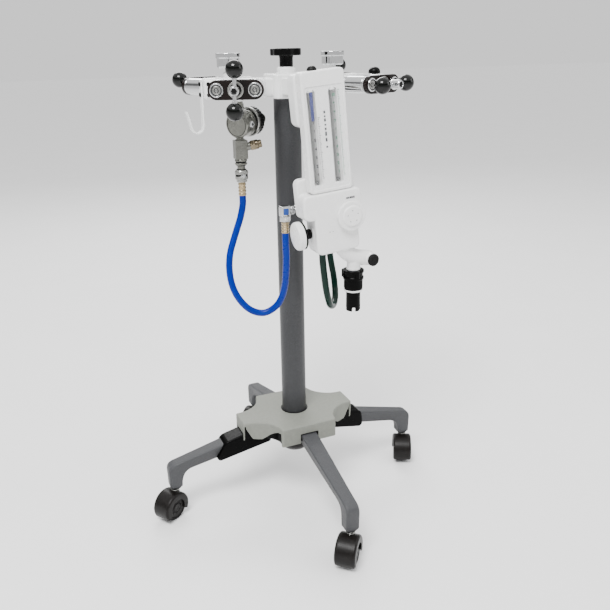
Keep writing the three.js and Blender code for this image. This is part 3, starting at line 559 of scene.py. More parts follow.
def piece(name, bm, mat, body, *nodes, slot=None, to=None, crease=38, bevel=0.0, weighted=True):
    """Turns bm into a named piece that rides on a body and stands for CAD nodes."""
    bmesh.ops.recalc_face_normals(bm, faces=bm.faces)
    mesh = bpy.data.meshes.new(name)
    bm.to_mesh(mesh)
    bm.free()
    if to:
        mesh.transform(to)
    mesh.transform(Matrix.Scale(MM, 4))
    mesh.shade_smooth()
    mesh.set_sharp_from_angle(angle=math.radians(crease))
    mesh.materials.append(MATS[mat])
    obj = add_object(name, mesh)
    if bevel:
        mod = obj.modifiers.new("edges", "BEVEL")
        mod.width = bevel * MM
        mod.segments = 2
        mod.limit_method = "ANGLE"
        mod.angle_limit = BEVEL_FROM
    if weighted:
        mod = obj.modifiers.new("normals", "WEIGHTED_NORMAL")
        mod.keep_sharp = True
    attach(obj, body)
    if nodes:
        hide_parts(*nodes)


# ---- hoses ----
HOSE_R = 6.5
BLUE_ROUTE = (
    (-97, -7, 658.7), (-97.5, -7, 642), (-104, -9, 618), (-113, -12, 597), (-122, -16, 577),
    (-130, -20, 558), (-135, -25, 540), (-137, -30, 520), (-136, -36, 500), (-131, -42, 481),
    (-122, -48, 464), (-109, -54, 449.5), (-94, -58, 441.5), (-80, -62, 440.5), (-67, -66, 446.5),
    (-56.5, -70, 457), (-49, -74, 473), (-45, -79, 495), (-44, -84, 522), (-44, -88, 551),
    (-45.5, -90.5, 578), (-45.5, -90.5, 599.7))
GREEN_ROUTE = (
    (76, 6, 828.2), (76, 5.5, 800), (76, 4, 740), (76.5, 1, 670), (77.5, -3, 600),
    (79.5, -8, 545), (83, -12, 508), (86.5, -17, 478), (85, -27, 452), (77, -43, 437), (64, -61, 432),
    (51, -76, 440), (41, -88, 458), (33, -96, 482), (27, -101, 512), (23, -103.5, 540), (22, -104, 563.3))


def make_hose(name, route, mat, node):
    line = [p * MM for p in smooth_line(route, per=5)]
    curve = bpy.data.curves.new(name, "CURVE")
    curve.dimensions = "3D"
    spline = curve.splines.new("POLY")
    spline.points.add(len(line) - 1)
    for point, p in zip(spline.points, line):
        point.co = (*p, 1)
    curve.bevel_depth = HOSE_R * MM
    curve.bevel_resolution = 7
    curve.use_fill_caps = True
    curve.materials.append(MATS[mat])
    spline.use_smooth = True
    obj = add_object(name, curve)
    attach(obj, STAND)
    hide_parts(node)


# ---- base ----
LEG_FLAT = 170                   # height of a leg's top near the hub
TIP_TOP = 123                    # and where it turns down at the tip
LEG_SLOPE = 0.235                # fall of the top towards the tip
LEG_HALF, LEG_TAPER = 18, 0.24   # half its width, and the share lost from the cover to the tip
BEAM_END = 232                   # how far out the leg's straight part runs
UNDER_END, UNDER_SLOPE = 103, 0.186    # height and slope of its underside there
COVER_X, COVER_Y = 124, 83       # half the cover's length and width
SCOOP_X, SCOOP_Y, SCOOP_R = 117.5, 84.4, 57.5    # centre and radius of one cylinder rest
REST_STEPS = 80
# lower edge of each rest's wall: share of the way from the cover's end to its side, and height
WALL_EDGE = ((0.0, 181), (0.05, 176), (0.1, 168), (0.15, 158), (0.2, 150), (0.3, 148.6), (0.4, 149),
             (0.5, 156), (0.6, 163.5), (0.7, 169.5), (0.8, 174), (0.94, 176), (0.97, 148), (1.0, 148))
BOOT_HALF = 20.5                 # half the width of the boots round the two side legs


def tip_radius():
    return joint_at("caster_swivel_right").x


def leg_top(x):
    return min(LEG_FLAT, TIP_TOP + (tip_radius() - 8 - x) * LEG_SLOPE)


def leg_under(x):
    return UNDER_END + (BEAM_END - x) * UNDER_SLOPE


def make_leg(side):
    """A tapering cast arm that turns down into the caster's socket."""
    tip, foot = tip_radius(), corner("leg_right").z
    knee = [Vector((tip - 8, TIP_TOP)), Vector((tip + 12, TIP_TOP - 2)), Vector((tip + 12, TIP_TOP - 17))]
    stations = [((x, leg_top(x)), (x, leg_under(x)), 0.4)
                for x in (34, 48, 62.9, 70, 90, 120, 150, 180, 205, 220)]
    stations += [((BEAM_END, leg_top(BEAM_END)), (BEAM_END - 4, leg_under(BEAM_END - 4)), 0.4),
                 ((tip - 24, leg_top(tip - 24)), (tip - 34, 102), 0.36),
                 ((tip - 12, leg_top(tip - 12)), (tip - 27, 98.6), 0.30)]
    inner = ((tip - 22, 94.5, 0.22), (tip - 19.4, 90, 0.16), (tip - 17.4, 85.5, 0.1),
             (tip - 16.2, 81, 0.06), (tip - 15.4, 77, 0.03))
    stations += [(tuple(bend(*knee, k / 4)), (x, z), d) for k, (x, z, d) in enumerate(inner)]
    stations += [((tip + 11.6, 92), (tip - 15.2, 74), 0.0),
                 ((tip + 11, foot + 8), (tip - 15, foot + 7.4), 0.0),
                 ((tip + 10, foot + 5.6), (tip - 14, foot + 5.6), 0.0),
                 ((tip + 7.4, foot + 1), (tip - 11, foot + 1), 0.0),
                 ((tip + 6, foot), (tip - 10, foot), 0.0)]
    rings = []
    for (ox, oz), (ix, iz), draft in stations:
        o, i = Vector((ox, 0, oz)), Vector((ix, 0, iz))
        along = i - o
        depth = along.length
        along.normalize()
        t = max(0.0, min(1.0, (min(ox, tip) - COVER_Y) / (tip - COVER_Y)))
        w = LEG_HALF * (1 - LEG_TAPER * t)
        if oz < foot + 8:
            w *= 1 - 0.35 * (foot + 8 - oz) / 8
        low = w * (1 - draft)
        r = min(5.5, depth * 0.3)
        section = eased([(0, -w), (depth, -low), (depth, low), (0, w)], r, closed=True, steps=5, min_turn=5)
        rings.append([o + along * q.x + Vector((0, q.y, 0)) for q in section])
    bm = ring_skin(bmesh.new(), rings)
    turn = Matrix.Rotation(math.radians(SIDES[side]), 4, "Z")
    piece(f"leg_{side}_casting", bm, "grey_cast", STAND, f"leg_{side}", to=turn, crease=60)
    ring = turned(bmesh.new(), band(5.9, 9.2, foot - 1.2, foot + 1), (tip, 0, 0), segs=40, ease=0.4)
    piece(f"leg_{side}_socket_ring", ring, "turned_steel", STAND, slot=f"leg_{side}", to=turn)


def scooped(x, y, r, corner_r=5.0):
    """Plan outline with four round cylinder rests, and each point's place along its own rest."""
    low = SCOOP_Y - math.sqrt(r * r - (x - SCOOP_X) ** 2)
    left = SCOOP_X - math.sqrt(r * r - (y - SCOOP_Y) ** 2)
    a0 = math.atan2(low - SCOOP_Y, x - SCOOP_X)
    a1 = math.atan2(y - SCOOP_Y, left - SCOOP_X) - math.tau * (y > SCOOP_Y)
    if a1 > 0:
        a1 -= math.tau
    quarter = []
    for i in range(REST_STEPS + 1):
        t = i / REST_STEPS
        a = a0 + (a1 - a0) * t
        quarter.append((Vector((SCOOP_X, SCOOP_Y)) + polar(r, a), t))
    outline = []
    for i, j in ((1, 1), (-1, 1), (-1, -1), (1, -1)):
        run = [(Vector((p.x * i, p.y * j)), t) for p, t in quarter]
        outline += run if i * j > 0 else run[::-1]
    rounded, marks, dropped, fillets = [], [], set(), {}
    n = len(outline)
    for k, (p, t) in enumerate(outline):
        if t not in (0.0, 1.0):
            continue
        ends = []
        for step in (-1, 1):
            left, i = corner_r, k
            while True:
                a, b = outline[i % n][0], outline[(i + step) % n][0]
                if (b - a).length > left:
                    ends.append(a + (b - a).normalized() * left)
                    break
                left -= (b - a).length
                i += step
                dropped.add(i % n)
        fillets[k] = [bend(ends[0], p, ends[1], u) for u in (0, 0.15, 0.3, 0.4, 0.5, 0.6, 0.7, 0.85, 1)]
    for k, (p, t) in enumerate(outline):
        if k in fillets:
            rounded += fillets[k]
            marks += [t] * len(fillets[k])
        elif k not in dropped:
            rounded.append(p)
            marks.append(t)
    return rounded, marks


def split_edges(outline, marks, cuts):
    """Adds points on the straight ends at these distances either side of the middle."""
    out, out_marks = [], []
    n = len(outline)
    for k in range(n):
        p, q = outline[k], outline[(k + 1) % n]
        out.append(p)
        out_marks.append(marks[k])
        for axis, half in cuts:
            other = 1 - axis
            if abs(p[axis] - q[axis]) < 0.01 and p[other] * q[other] < 0:
                inside = sorted((-half[1], -half[0], 0.0, half[0], half[1]), reverse=p[other] > q[other])
                for v in inside:
                    point = Vector((p[0], p[1]))
                    point[other] = v
                    out.append(point)
                    out_marks.append(None)
    return out, out_marks


def make_cover():
    """The pale cover: a shell with four cylinder rests, cut away over the legs."""
    top, bottom = corner("base_cover", 1).z, corner("base_cover").z
    ease, wall, lip = 3.0, 3.0, 0.8
    tooth, rise = 5, 33          # width and height of the pointed teeth beside the side legs
    outline, marks = scooped(COVER_X, COVER_Y, SCOOP_R)
    side_slot, end_slot = (BOOT_HALF + 0.8, BOOT_HALF + 1.1), (19.9, 20.2)
    outline, marks = split_edges(outline, marks, ((0, side_slot), (1, end_slot)))

    def skirt(p, t):
        """Height of the wall's lower edge: sloping along each rest, slots for the legs."""
        if t is None or t in (0.0, 1.0):
            if abs(p.x) > COVER_X - 12 and abs(p.y) < 40:
                if abs(p.y) < side_slot[1] - 0.01:
                    return leg_top(112) + 5
                return min(WALL_EDGE[0][1], bottom + rise * max(0, abs(p.y) - side_slot[1]) / tooth)
            if abs(abs(p.y) - COVER_Y) < 0.1 and abs(p.x) < end_slot[1]:
                return leg_top(COVER_Y) + 4
            return bottom
        for (t0, z0), (t1, z1) in zip(WALL_EDGE, WALL_EDGE[1:]):
            if t <= t1:
                return z0 + (z1 - z0) * (t - t0) / (t1 - t0)

    rings = []
    for k in range(5):
        a = math.radians(90 * k / 4)
        z = top - ease + ease * math.cos(a)
        rings.append([Vector((p.x, p.y, z)) for p in offset(outline, -ease + ease * math.sin(a))])
    lows = [skirt(p, t) for p, t in zip(outline, marks)]
    rings.append([Vector((p.x, p.y, z + lip)) for p, z in zip(outline, lows)])
    inner = offset(outline, -wall)
    for line in (offset(outline, -lip), inner):
        rings.append([Vector((p.x, p.y, z)) for p, z in zip(line, lows)])
    rings.append([Vector((p.x, p.y, top - wall)) for p in inner])
    # the deck runs in to a round hole for the mast
    mast_r = corner("mast_tube", 1).x
    hole = [p.normalized() * (mast_r + 2.2) for p in outline]
    rings.append([Vector((p.x, p.y, top - wall)) for p in hole])
    rings.append([Vector((p.x, p.y, top)) for p in hole])
    bm = ring_skin(bmesh.new(), rings, looped=True)
    piece("base_cover_moulding", bm, "cover_plastic", STAND, "base_cover", crease=50)
    bush = turned(bmesh.new(), band(mast_r + 0.1, mast_r + 3.4, top - 6, top + 0.5), ease=0.3)
    piece("base_cover_bush", bush, "soft_black", STAND, slot="base_liner")


def make_liner():
    """The black tray under the cover and the boots round the two side legs."""
    top = corner("base_liner", 1).z
    outline, _ = scooped(COVER_X - 5, COVER_Y - 5, SCOOP_R + 5.5, corner_r=3)
    bm = prism(bmesh.new(), outline, 150, top, 1.5)
    piece("base_liner_tray", bm, "black_gloss", STAND, "base_liner")
    for name, heading, end_top, end_low in (("right", 0, 154, 157), ("left", 180, 165, 182)):
        side = [(62, leg_under(62) - 4), (end_low - 6, leg_under(end_low - 6) - 4),
                (end_low, leg_under(end_low) + 4), (end_top, leg_top(end_top) + 1),
                (end_top - 6, leg_top(end_top - 6) + 4), (100, leg_top(100) + 4), (62, LEG_FLAT + 4)]
        boot = prism(bmesh.new(), eased([Vector(p) for p in side], 5, closed=True, steps=5), -BOOT_HALF,
                     BOOT_HALF, 4.0, FRONT)
        piece(f"base_boot_{name}", boot, "black_gloss", STAND, slot="base_liner",
              to=Matrix.Rotation(math.radians(heading), 4, "Z"))


def make_hub():
    """The round casting under the middle of the base."""
    lo, hi = corners("base_hub")
    bm = turned(bmesh.new(), [(0, lo.z), (18, lo.z), (27, lo.z + 4), (34, lo.z + 13), (hi.x, lo.z + 26),
                              (hi.x, hi.z), (0, hi.z)], ease=3, steps=5)
    turned(bm, [(0, lo.z - 0.2), (5, lo.z - 0.2), (5.5, lo.z + 1), (0, lo.z + 1)])
    # the hub is drawn in near-black plastic, darker than the grey legs: painted shade for the shadow it
    # sits in under the cover
    piece("base_hub_casting", bm, "caster_plastic", STAND, "base_hub")


# ---- casters ----
HOOD_R = 32.5
HOOD_HALF = 20.5                 # half its width
HOOD_ARC = (-28, 208)            # where it starts and ends about the axle, in degrees


def make_caster(side):
    """A twin-wheel caster: hood and stem on the swivel, wheels and hub caps on the axle."""
    stem = joint_at(f"caster_swivel_{side}")
    wheel_at = joint_at(f"wheel_spin_{side}")
    axle = joint_axis(f"wheel_spin_{side}")
    trail = Vector((wheel_at.x - stem.x, wheel_at.y - stem.y, 0))
    m = Matrix((trail.normalized(), axle, Vector((0, 0, 1)))).transposed().to_4x4()
    m = Matrix.Translation((stem.x, stem.y, 0)) @ m
    off, r, half = trail.length, wheel_at.z, HOOD_HALF
    hood = bmesh.new()
    # channel-shaped hood, swept about the axle, with a web between the wheels
    channel = [(HOOD_R, 3 - half), (HOOD_R, half - 3), (HOOD_R - 3, half), (18.5, half), (18.5, half - 1.9),
               (r + 1.6, half - 2.5), (r + 1.6, 2.4), (5, 2.4), (5, -2.4), (r + 1.6, -2.4),
               (r + 1.6, 2.5 - half), (18.5, 1.9 - half), (18.5, -half), (HOOD_R - 3, -half)]
    section = eased([Vector(p) for p in channel], 2.2, closed=True, steps=3)
    rings = []
    steps = 44
    for i in range(steps + 1):
        a = math.radians(HOOD_ARC[0] + (HOOD_ARC[1] - HOOD_ARC[0]) * i / steps)
        rings.append([Vector((off + p.x * math.cos(a), p.y, r + p.x * math.sin(a))) for p in section])
    ring_skin(hood, rings)
    rod(hood, (off, -3, r), (off, 3, r), 7.5)
    block(hood, -6, 7, -8, 8, 44, 58, 3, 1.5)
    piece(f"caster_{side}_hood", hood, "caster_plastic", f"caster_{side}", f"caster_{side}", to=m)
    pin = turned(bmesh.new(), [(0, 57), (9, 57), (9, 59.5), (7, 61), (5.6, 61.4), (5.6, 73.5), (0, 73.5)],
                 ease=0.6)
    piece(f"caster_{side}_stem", pin, "turned_steel", f"caster_{side}", slot=f"caster_{side}", to=m)
    wheels, caps = bmesh.new(), bmesh.new()
    rod(wheels, (off, -15, r), (off, 15, r), 4)
    for s in (-1, 1):
        turned(wheels, [(0, 4), (r - 3, 4), (r, 5.5), (r, 14.5), (r - 2.5, 16.6), (r - 6, 17),
                        (r - 7, 15.6), (0, 15.6)], (off, 0, r), (0, s, 0), 72, 1.4)
        turned(caps, [(0, 15), (r - 7.4, 15), (r - 7.4, 16.4), (r - 9.5, 15.8), (9, 15.5), (8, 17), (4, 17),
                      (3.4, 16.6), (0, 16.6)], (off, 0, r), (0, s, 0), 48, 0.5)
        ridges(caps, 8, 13, (off, s * 15.6, r), (0, s * 0.9, 0), 1.8, 12, 0.3)
    piece(f"caster_{side}_wheels", wheels, "tread_rubber", f"wheels_{side}", f"caster_wheels_{side}", to=m)
    piece(f"caster_{side}_hubcaps", caps, "caster_plastic", f"wheels_{side}", slot=f"caster_wheels_{side}",
          to=m)


# ---- mast and manifold ----
BAR_HALF_DEPTH = 20
SEAT_IN, SEAT_OUT = -95, -55     # a yoke's seat, as distances along its screw from the plate
LEAN_PIVOT = 880


def bar_z():
    return joint_at("yoke_turn_front_left").z - 2


def make_mast():
    lo, hi = corners("mast_tube")
    r = hi.x                     # outer radius
    bm = turned(bmesh.new(), band(r - 3, r, lo.z, hi.z), segs=96, ease=0.6)
    piece("mast_tube_painted", bm, "mast_paint", STAND, "mast_tube")


def lean_matrix():
    """The flowmeter's sideways hang, the same as its floats' slide."""
    up = joint_axis("flow_float_rise_left")
    tilt = math.atan2(-up.x, up.z)
    pivot = Matrix.Translation((0, 0, LEAN_PIVOT))
    return pivot @ Matrix.Rotation(-tilt, 4, "Y") @ pivot.inverted()


LEAN = lean_matrix()


def yoke_matrix(name):
    d = joint_axis(f"yoke_turn_{name}")
    e = Vector((-d.y, d.x, 0))
    m = Matrix((e, Vector((0, 0, 1)), d)).transposed().to_4x4()
    return Matrix.Translation(joint_at(f"yoke_turn_{name}")) @ m


def make_manifold():
    """Crossbar, mast head, four yoke seats, the flowmeter bracket and the ports."""
    lo, hi = corners("manifold_casting")
    z = bar_z()
    bar = prism(bmesh.new(), rect(-BAR_HALF_DEPTH, z - 16, BAR_HALF_DEPTH, z + 16, 4.5), lo.x, hi.x, 2.5,
                ACROSS)
    piece("manifold_crossbar", bar, "white_gloss", STAND, "manifold_casting")
    head = block(bmesh.new(), -35, 35, -35, 35, 831, 874, 9, 3.5)
    turned(head, [(0, 872), (17.5, 872), (17.5, 883), (15.5, 885.3), (0, 885.3)], ease=1.2)
    for s in (-1, 1):
        turned(head, [(0, -1), (3.4, -1), (3.4, 1.2), (2.2, 2.0), (0, 2.0)], (s * 27, -27, 874), ease=0.4,
               segs=24)
    piece("manifold_mast_head", head, "white_gloss", STAND, "manifold_casting")
    for name in YOKES:
        seat = prism(bmesh.new(), rect(-YOKE_HALF, -16, YOKE_HALF, 16, 7), SEAT_IN, SEAT_OUT, 2.5)
        piece(f"manifold_seat_{name}", seat, "white_gloss", STAND, slot="manifold_casting",
              to=yoke_matrix(name))
    arm = block(bmesh.new(), -24, 24, -101, -10, 838, 868, 5, 3)
    front_block(arm, -39, 38, corner("flowmeter_body", 1).y + 0.3, -92, 789, 880, 13, 4, to=LEAN)
    for x in (-26, 26):
        for dz in (806, 862):
            c = LEAN @ Vector((x, -92.4, dz))
            turned(arm, [(0, 0), (4.2, 0), (4.2, 2.2), (3.4, 3), (1.9, 3), (1.9, 1.4), (0, 1.4)], c,
                   (0, 1, 0), 24, 0.3)
    arm = cast(arm, 1.3, 5)
    piece("manifold_bracket", arm, "white_gloss", STAND, slot="manifold_casting", crease=180,
          weighted=False)
    ports = bmesh.new()
    for side in ("left", "right"):
        c = joint_at(f"gauge_needle_turn_{side}")
        turned(ports, [(0, 860), (10, 860), (10, 876), (8.5, 878.5), (6, 879), (6, 885.5), (0, 885.5)],
               (c.x, c.y, 0), ease=0.8)
    turned(ports, [(0, 829), (9, 829), (9.6, 831), (9.6, 842), (0, 842)], (REG.x, REG.y, 0), ease=0.6)
    turned(ports, [(7.2, 822), (9, 822), (9.6, 824), (9.6, 842), (7.2, 842), (7.2, 822)],
           (*GREEN_ROUTE[0][:2], 0), ease=0.5)
    piece("manifold_ports", ports, "white_gloss", STAND, slot="manifold_casting")


def make_plug():
    lo, hi = corners("port_plug")
    c = (lo + hi) / 2
    z = hi.z - 13
    bm = turned(bmesh.new(), [(0, z - 3), (6, z - 3), (6, z), (11.5, z), (11.5, z + 5), (9.8, z + 9),
                              (6, z + 12), (0, z + 13)], (c.x, c.y, 0), ease=2.2, steps=6)
    piece("port_plug_dome", bm, "phenolic", STAND, "port_plug")


def make_clamp_knob():
    """The lobed knob on top of the mast, and its screw."""
    lo, hi = corners("clamp_knob")
    bm = prism(bmesh.new(), lobed(27.1, 1.9, 7, 140), hi.z - 12.5, hi.z, 2.2, steps=5)
    turned(bm, [(0, 885.4), (12.3, 885.4), (12.3, 900), (13.4, 905), (0, 905)], ease=0.7)
    turned(bm, [(0, hi.z - 0.5), (9, hi.z - 0.5), (8.6, hi.z), (0, hi.z)], ease=0.2)
    piece("clamp_knob_lobed", bm, "phenolic", "clamp_knob", "clamp_knob")
    screw = rod(bmesh.new(), (0, 0, lo.z), (0, 0, 886), 4.9, segs=32)
    piece("clamp_knob_screw", screw, "turned_steel", "clamp_knob", slot="clamp_knob")


# ---- yokes ----
YOKE_HALF, YOKE_R = 46.5, 15.8   # half the length of plate and frame, and half their height
PILLAR_X, PILLAR_R = 31.4, 15
CAP_R = 11.8
PITCH_MM = 2.0                   # of the screw's thread
HANDLE_OUT = 29                  # the handle's place along the screw
BALL_R = 14.5
BALL_OUT = 33                    # from the screw's axis to a ball's centre
HANDLE_ANGLE = {"front_left": math.radians(88), "front_right": math.radians(2),
                "back_left": math.radians(20), "back_right": math.radians(118)}


def make_yoke(name):
    """A cylinder yoke: frame, front plate, screw with its pad, and a bar with two balls."""
    m = yoke_matrix(name)
    frame_bm = prism(bmesh.new(), stadium(YOKE_HALF, YOKE_R), SEAT_OUT + 0.3, SEAT_OUT + 6, 0.8)
    for k in (-1, 1):
        turned(frame_bm, [(0, SEAT_OUT + 4), (PILLAR_R, SEAT_OUT + 4), (PILLAR_R, -9), (PILLAR_R - 1, -8.2),
                          (PILLAR_R - 1, -6.8), (PILLAR_R, -6), (PILLAR_R, -4.2), (CAP_R, -4.2),
                          (CAP_R, 5.4), (10.8, 6.9), (9.4, 6.9), (9.0, 4.6), (0, 4.6)],
               (k * PILLAR_X, 0, 0), ease=0.5, segs=72)
    piece(f"yoke_{name}_frame", frame_bm, "chrome", STAND, f"yoke_frame_{name}", to=m)
    plate = prism(bmesh.new(), stadium(YOKE_HALF, YOKE_R), -4, 4, 1.0)
    piece(f"yoke_{name}_plate", plate, "dark_plate_and_reflection", STAND, f"yoke_plate_{name}", to=m)
    rings = turned(bmesh.new(), [(9.2, 3), (13.4, 3), (13.4, 6.6), (12.6, 7.6), (10, 7.6), (9.2, 6.8),
                                 (9.2, 3)], ease=0.5)
    for k in (-1, 1):
        turned(rings, [(0, 4), (7.4, 4), (7.4, 5.8), (6.6, 6.6), (4.2, 6.6), (3.8, 5.8), (2.6, 5.8),
                       (2.2, 6.4), (0, 6.6)], (k * PILLAR_X, 0, 0), ease=0.3)
    piece(f"yoke_{name}_rings", rings, "turned_steel", STAND, slot=f"yoke_frame_{name}", to=m)
    # dark grey rings in the pillar caps' groove and centre: painted shade for the dark gaps between the
    # chrome rings
    groove_shade = bmesh.new()
    for k in (-1, 1):
        turned(groove_shade, band(7.3, 9.1, 4, 5), (k * PILLAR_X, 0, 0), ease=0.1)
        turned(groove_shade, band(2.3, 4.0, 5, 6.0), (k * PILLAR_X, 0, 0), ease=0.1)
    piece(f"yoke_{name}_cap_groove_shade", groove_shade, "grey_cast", STAND, slot=f"yoke_frame_{name}", to=m)
    pad = turned(bmesh.new(), [(0, -28), (6.6, -28), (8.5, -26.6), (8.5, -21.6), (7.8, -21), (0, -21)],
                 ease=0.5)
    piece(f"yoke_{name}_pad", pad, "turned_steel", f"pad_{name}", f"yoke_pad_{name}", to=m)
    screw = bmesh.new()
    thread = [(0, -20.7), (4, -20.7)]
    z = -18.5
    while z < 22:
        thread += [(5.3, z), (6.0, z + 0.5), (6.0, z + 1.0), (5.3, z + 1.5)]
        z += PITCH_MM
    turned(screw, thread + [(6, 24.5), (8, 26.5), (8, 42), (6.8, 44), (5.2, 44), (4.9, 42.6), (0, 42.6)],
           ease=0.4, steps=2, segs=48)
    piece(f"yoke_{name}_screw", screw, "chrome", f"screw_{name}", f"yoke_screw_{name}", to=m)
    # a black hexagon on the screw's end: painted dark reflection and shade in its recess
    socket = hexagon(bmesh.new(), 4.8, 42.2, 43.2, (0, 0, 0), ease=0.2)
    piece(f"yoke_{name}_screw_end_dark_reflection", socket, "soft_black", f"screw_{name}", slot=f"yoke_screw_{name}", to=m)
    across = polar(1, HANDLE_ANGLE[name]).to_3d()
    at = Vector((0, 0, HANDLE_OUT))
    bar, balls = bmesh.new(), bmesh.new()
    rod(bar, at - across * (BALL_OUT - 8), at + across * (BALL_OUT - 8), 3.2, segs=32)
    for s in (-1, 1):
        centre = at + across * s * BALL_OUT
        turned(bar, disc(4.6, 0, 3.4), centre - across * s * (BALL_R + 1.8), across * s, 32, 0.5)
        turned(balls, ball(BALL_R, 5), centre, across * s, 56, 0)
        turned(balls, [(0, -0.8), (4, -0.8), (4.6, 0), (0, 0.2)], centre - across * s * (BALL_R - 0.6),
               -across * s, 32, 0.2)
    piece(f"yoke_{name}_bar", bar, "chrome", f"screw_{name}", slot=f"yoke_handle_{name}", to=m)
    piece(f"yoke_{name}_balls", balls, "ball_black", f"screw_{name}", f"yoke_handle_{name}", to=m)


# ---- gauges ----
def digits(text, size, at, turn=None, weight=0.05):
    """A numeral as a thin raised mesh, in the XY plane turned by turn and moved to at."""
    curve = bpy.data.curves.new("digits", "FONT")
    curve.body = text
    curve.size = size
    curve.extrude = 0.06
    curve.offset = weight
    curve.align_x = "CENTER"
    curve.align_y = "CENTER"
    obj = add_object("digits", curve)
    graph = bpy.context.evaluated_depsgraph_get()
    done = obj.evaluated_get(graph)
    mesh = done.to_mesh()
    bm = bmesh.new()
    bm.from_mesh(mesh)
    done.to_mesh_clear()
    bpy.data.objects.remove(obj)
    bpy.data.curves.remove(curve)
    bmesh.ops.remove_doubles(bm, verts=bm.verts, dist=1e-4)
    m = Matrix.Translation(at) @ (turn or Matrix.Identity(4))
    bmesh.ops.transform(bm, matrix=m, verts=bm.verts)
    return bm


def merged(parts):
    """One BMesh that holds all the parts."""
    whole = bmesh.new()
    for part in parts:
        mesh = bpy.data.meshes.new("part")
        part.to_mesh(mesh)
        part.free()
        whole.from_mesh(mesh)
        bpy.data.meshes.remove(mesh)
    return whole


def make_gauge(side):
    """A pressure gauge lying face up, with its needle."""
    node = f"gauge_{side}"
    lo, hi = corners(node)
    c = joint_at(f"gauge_needle_turn_{side}")
    at = (c.x, c.y, 0)
    r, z, top = (hi.x - lo.x) / 2, lo.z, hi.z
    case = turned(bmesh.new(), [(0, z), (r - 4, z), (r - 1.6, z + 2.6), (r - 1.6, z + 16), (r, z + 17.5),
                                (r, top - 1.2), (r - 1, top), (r - 2.8, top), (r - 3.2, top - 5),
                                (0, top - 5)], at, ease=0.7, segs=96)
    ridges(case, 24, r - 0.6, (c.x, c.y, z + 18.4), (0, 0, 4.2), 0.55, 10)
    piece(f"{node}_case", case, "chrome", STAND, node)
    face = turned(bmesh.new(), disc(r - 3.4, top - 5.2, top - 4.6), at, ease=0.1)
    piece(f"{node}_face", face, "white_matt", STAND, slot=node)
    bm = bmesh.new()
    for k in range(41):
        a = math.radians(225 - 270 * k / 40)
        major = k % 5 == 0
        inner, outer = r - (7.2 if major else 5.8), r - 4.4
        w = 0.42 if major else 0.22
        turn = Matrix.Translation(at) @ Matrix.Rotation(a, 4, "Z")
        prism(bm, rect(inner, -w, outer, w, 0.1, 1), top - 4.7, top - 4.5, 0, turn)
    turned(bm, disc(2.6, top - 4.7, top - 4.4), at, ease=0.1, segs=24)
    marks = [bm]
    for k in range(0, 9, 2):
        a = math.radians(225 - 270 * k / 8)
        where = (c.x + (r - 9.6) * math.cos(a), c.y + (r - 9.6) * math.sin(a), top - 4.55)
        marks.append(digits(str(k), 3.6, where))
    piece(f"{node}_scale", merged(marks), "print_dark", STAND, slot=node, weighted=False)
    glass = turned(bmesh.new(), [(0, top - 1.9), (r - 3.1, top - 1.9), (r - 3.1, top - 1.1),
                                 (0, top - 0.6)], at, ease=0.2)
    piece(f"{node}_glass", glass, "clear_panel", STAND, slot=node)
    needle = bmesh.new()
    n_lo, n_hi = corners(f"gauge_needle_{side}")
    aim = Vector(((n_lo.x + n_hi.x) / 2 - c.x, (n_lo.y + n_hi.y) / 2 - c.y))
    turn = Matrix.Translation(at) @ Matrix.Rotation(math.atan2(aim.y, aim.x), 4, "Z")
    blade = [Vector(p) for p in ((-5, -1), (14, -0.35), (15, 0), (14, 0.35), (-5, 1))]
    prism(needle, eased(blade, 0.3, closed=True), n_lo.z, n_lo.z + 0.7, 0.15, turn)
    turned(needle, [(0, n_lo.z), (2.3, n_lo.z), (2.3, n_hi.z - 0.3), (1.9, n_hi.z), (0, n_hi.z)], at,
           ease=0.2, segs=32)
    piece(f"gauge_needle_{side}_blade", needle, "phenolic", f"needle_{side}", f"gauge_needle_{side}")


# ---- hook ----
def make_hook():
    """The bent strip hook at the end of the crossbar."""
    x0 = corner("manifold_casting").x - 2.0
    line = [(0, 864), (0, 828), (0, 792)]
    for i in range(1, 17):
        a = math.radians(-i * 162 / 16)
        line.append((-11.5 + 11.5 * math.cos(a), 791 + 14 * math.sin(a)))
    line += [(-26, 803), (-29.6, 814.6)]
    points = [Vector((x0 + x, 0, z)) for x, z in line]
    bm = swept(bmesh.new(), points, rect(-7, -1.6, 7, 1.6, 1.3, 4))
    piece("hanging_hook_strip", bm, "white_gloss", STAND, "hanging_hook", crease=60)
    screws = bmesh.new()
    for dz in (-9, 9):
        turned(screws, [(0, 0), (4.2, 0), (4.2, 1.2), (3.2, 2.2), (1.8, 2.2), (1.8, 1.0), (0, 1.0)],
               (x0 - 1.6, 0, bar_z() + dz), (-1, 0, 0), 28, 0.3)
        turned(screws, [(0, 0), (3.6, 0), (3.6, 1.1), (2.8, 1.9), (1.5, 1.9), (1.5, 0.7), (0, 0.7)],
               (x0 + 8, -BAR_HALF_DEPTH + 0.4, bar_z() + dz), (0, -1, 0), 28, 0.3)
    piece("hanging_hook_screws", screws, "phenolic", STAND, slot="hanging_hook")


# ---- regulator and outlet ----
REG = Vector((-97, -7, 789))
REG_DIR = Vector((0.81, 0.59, 0.06)).normalized()
REG_R = 24
REG_RIM = 27


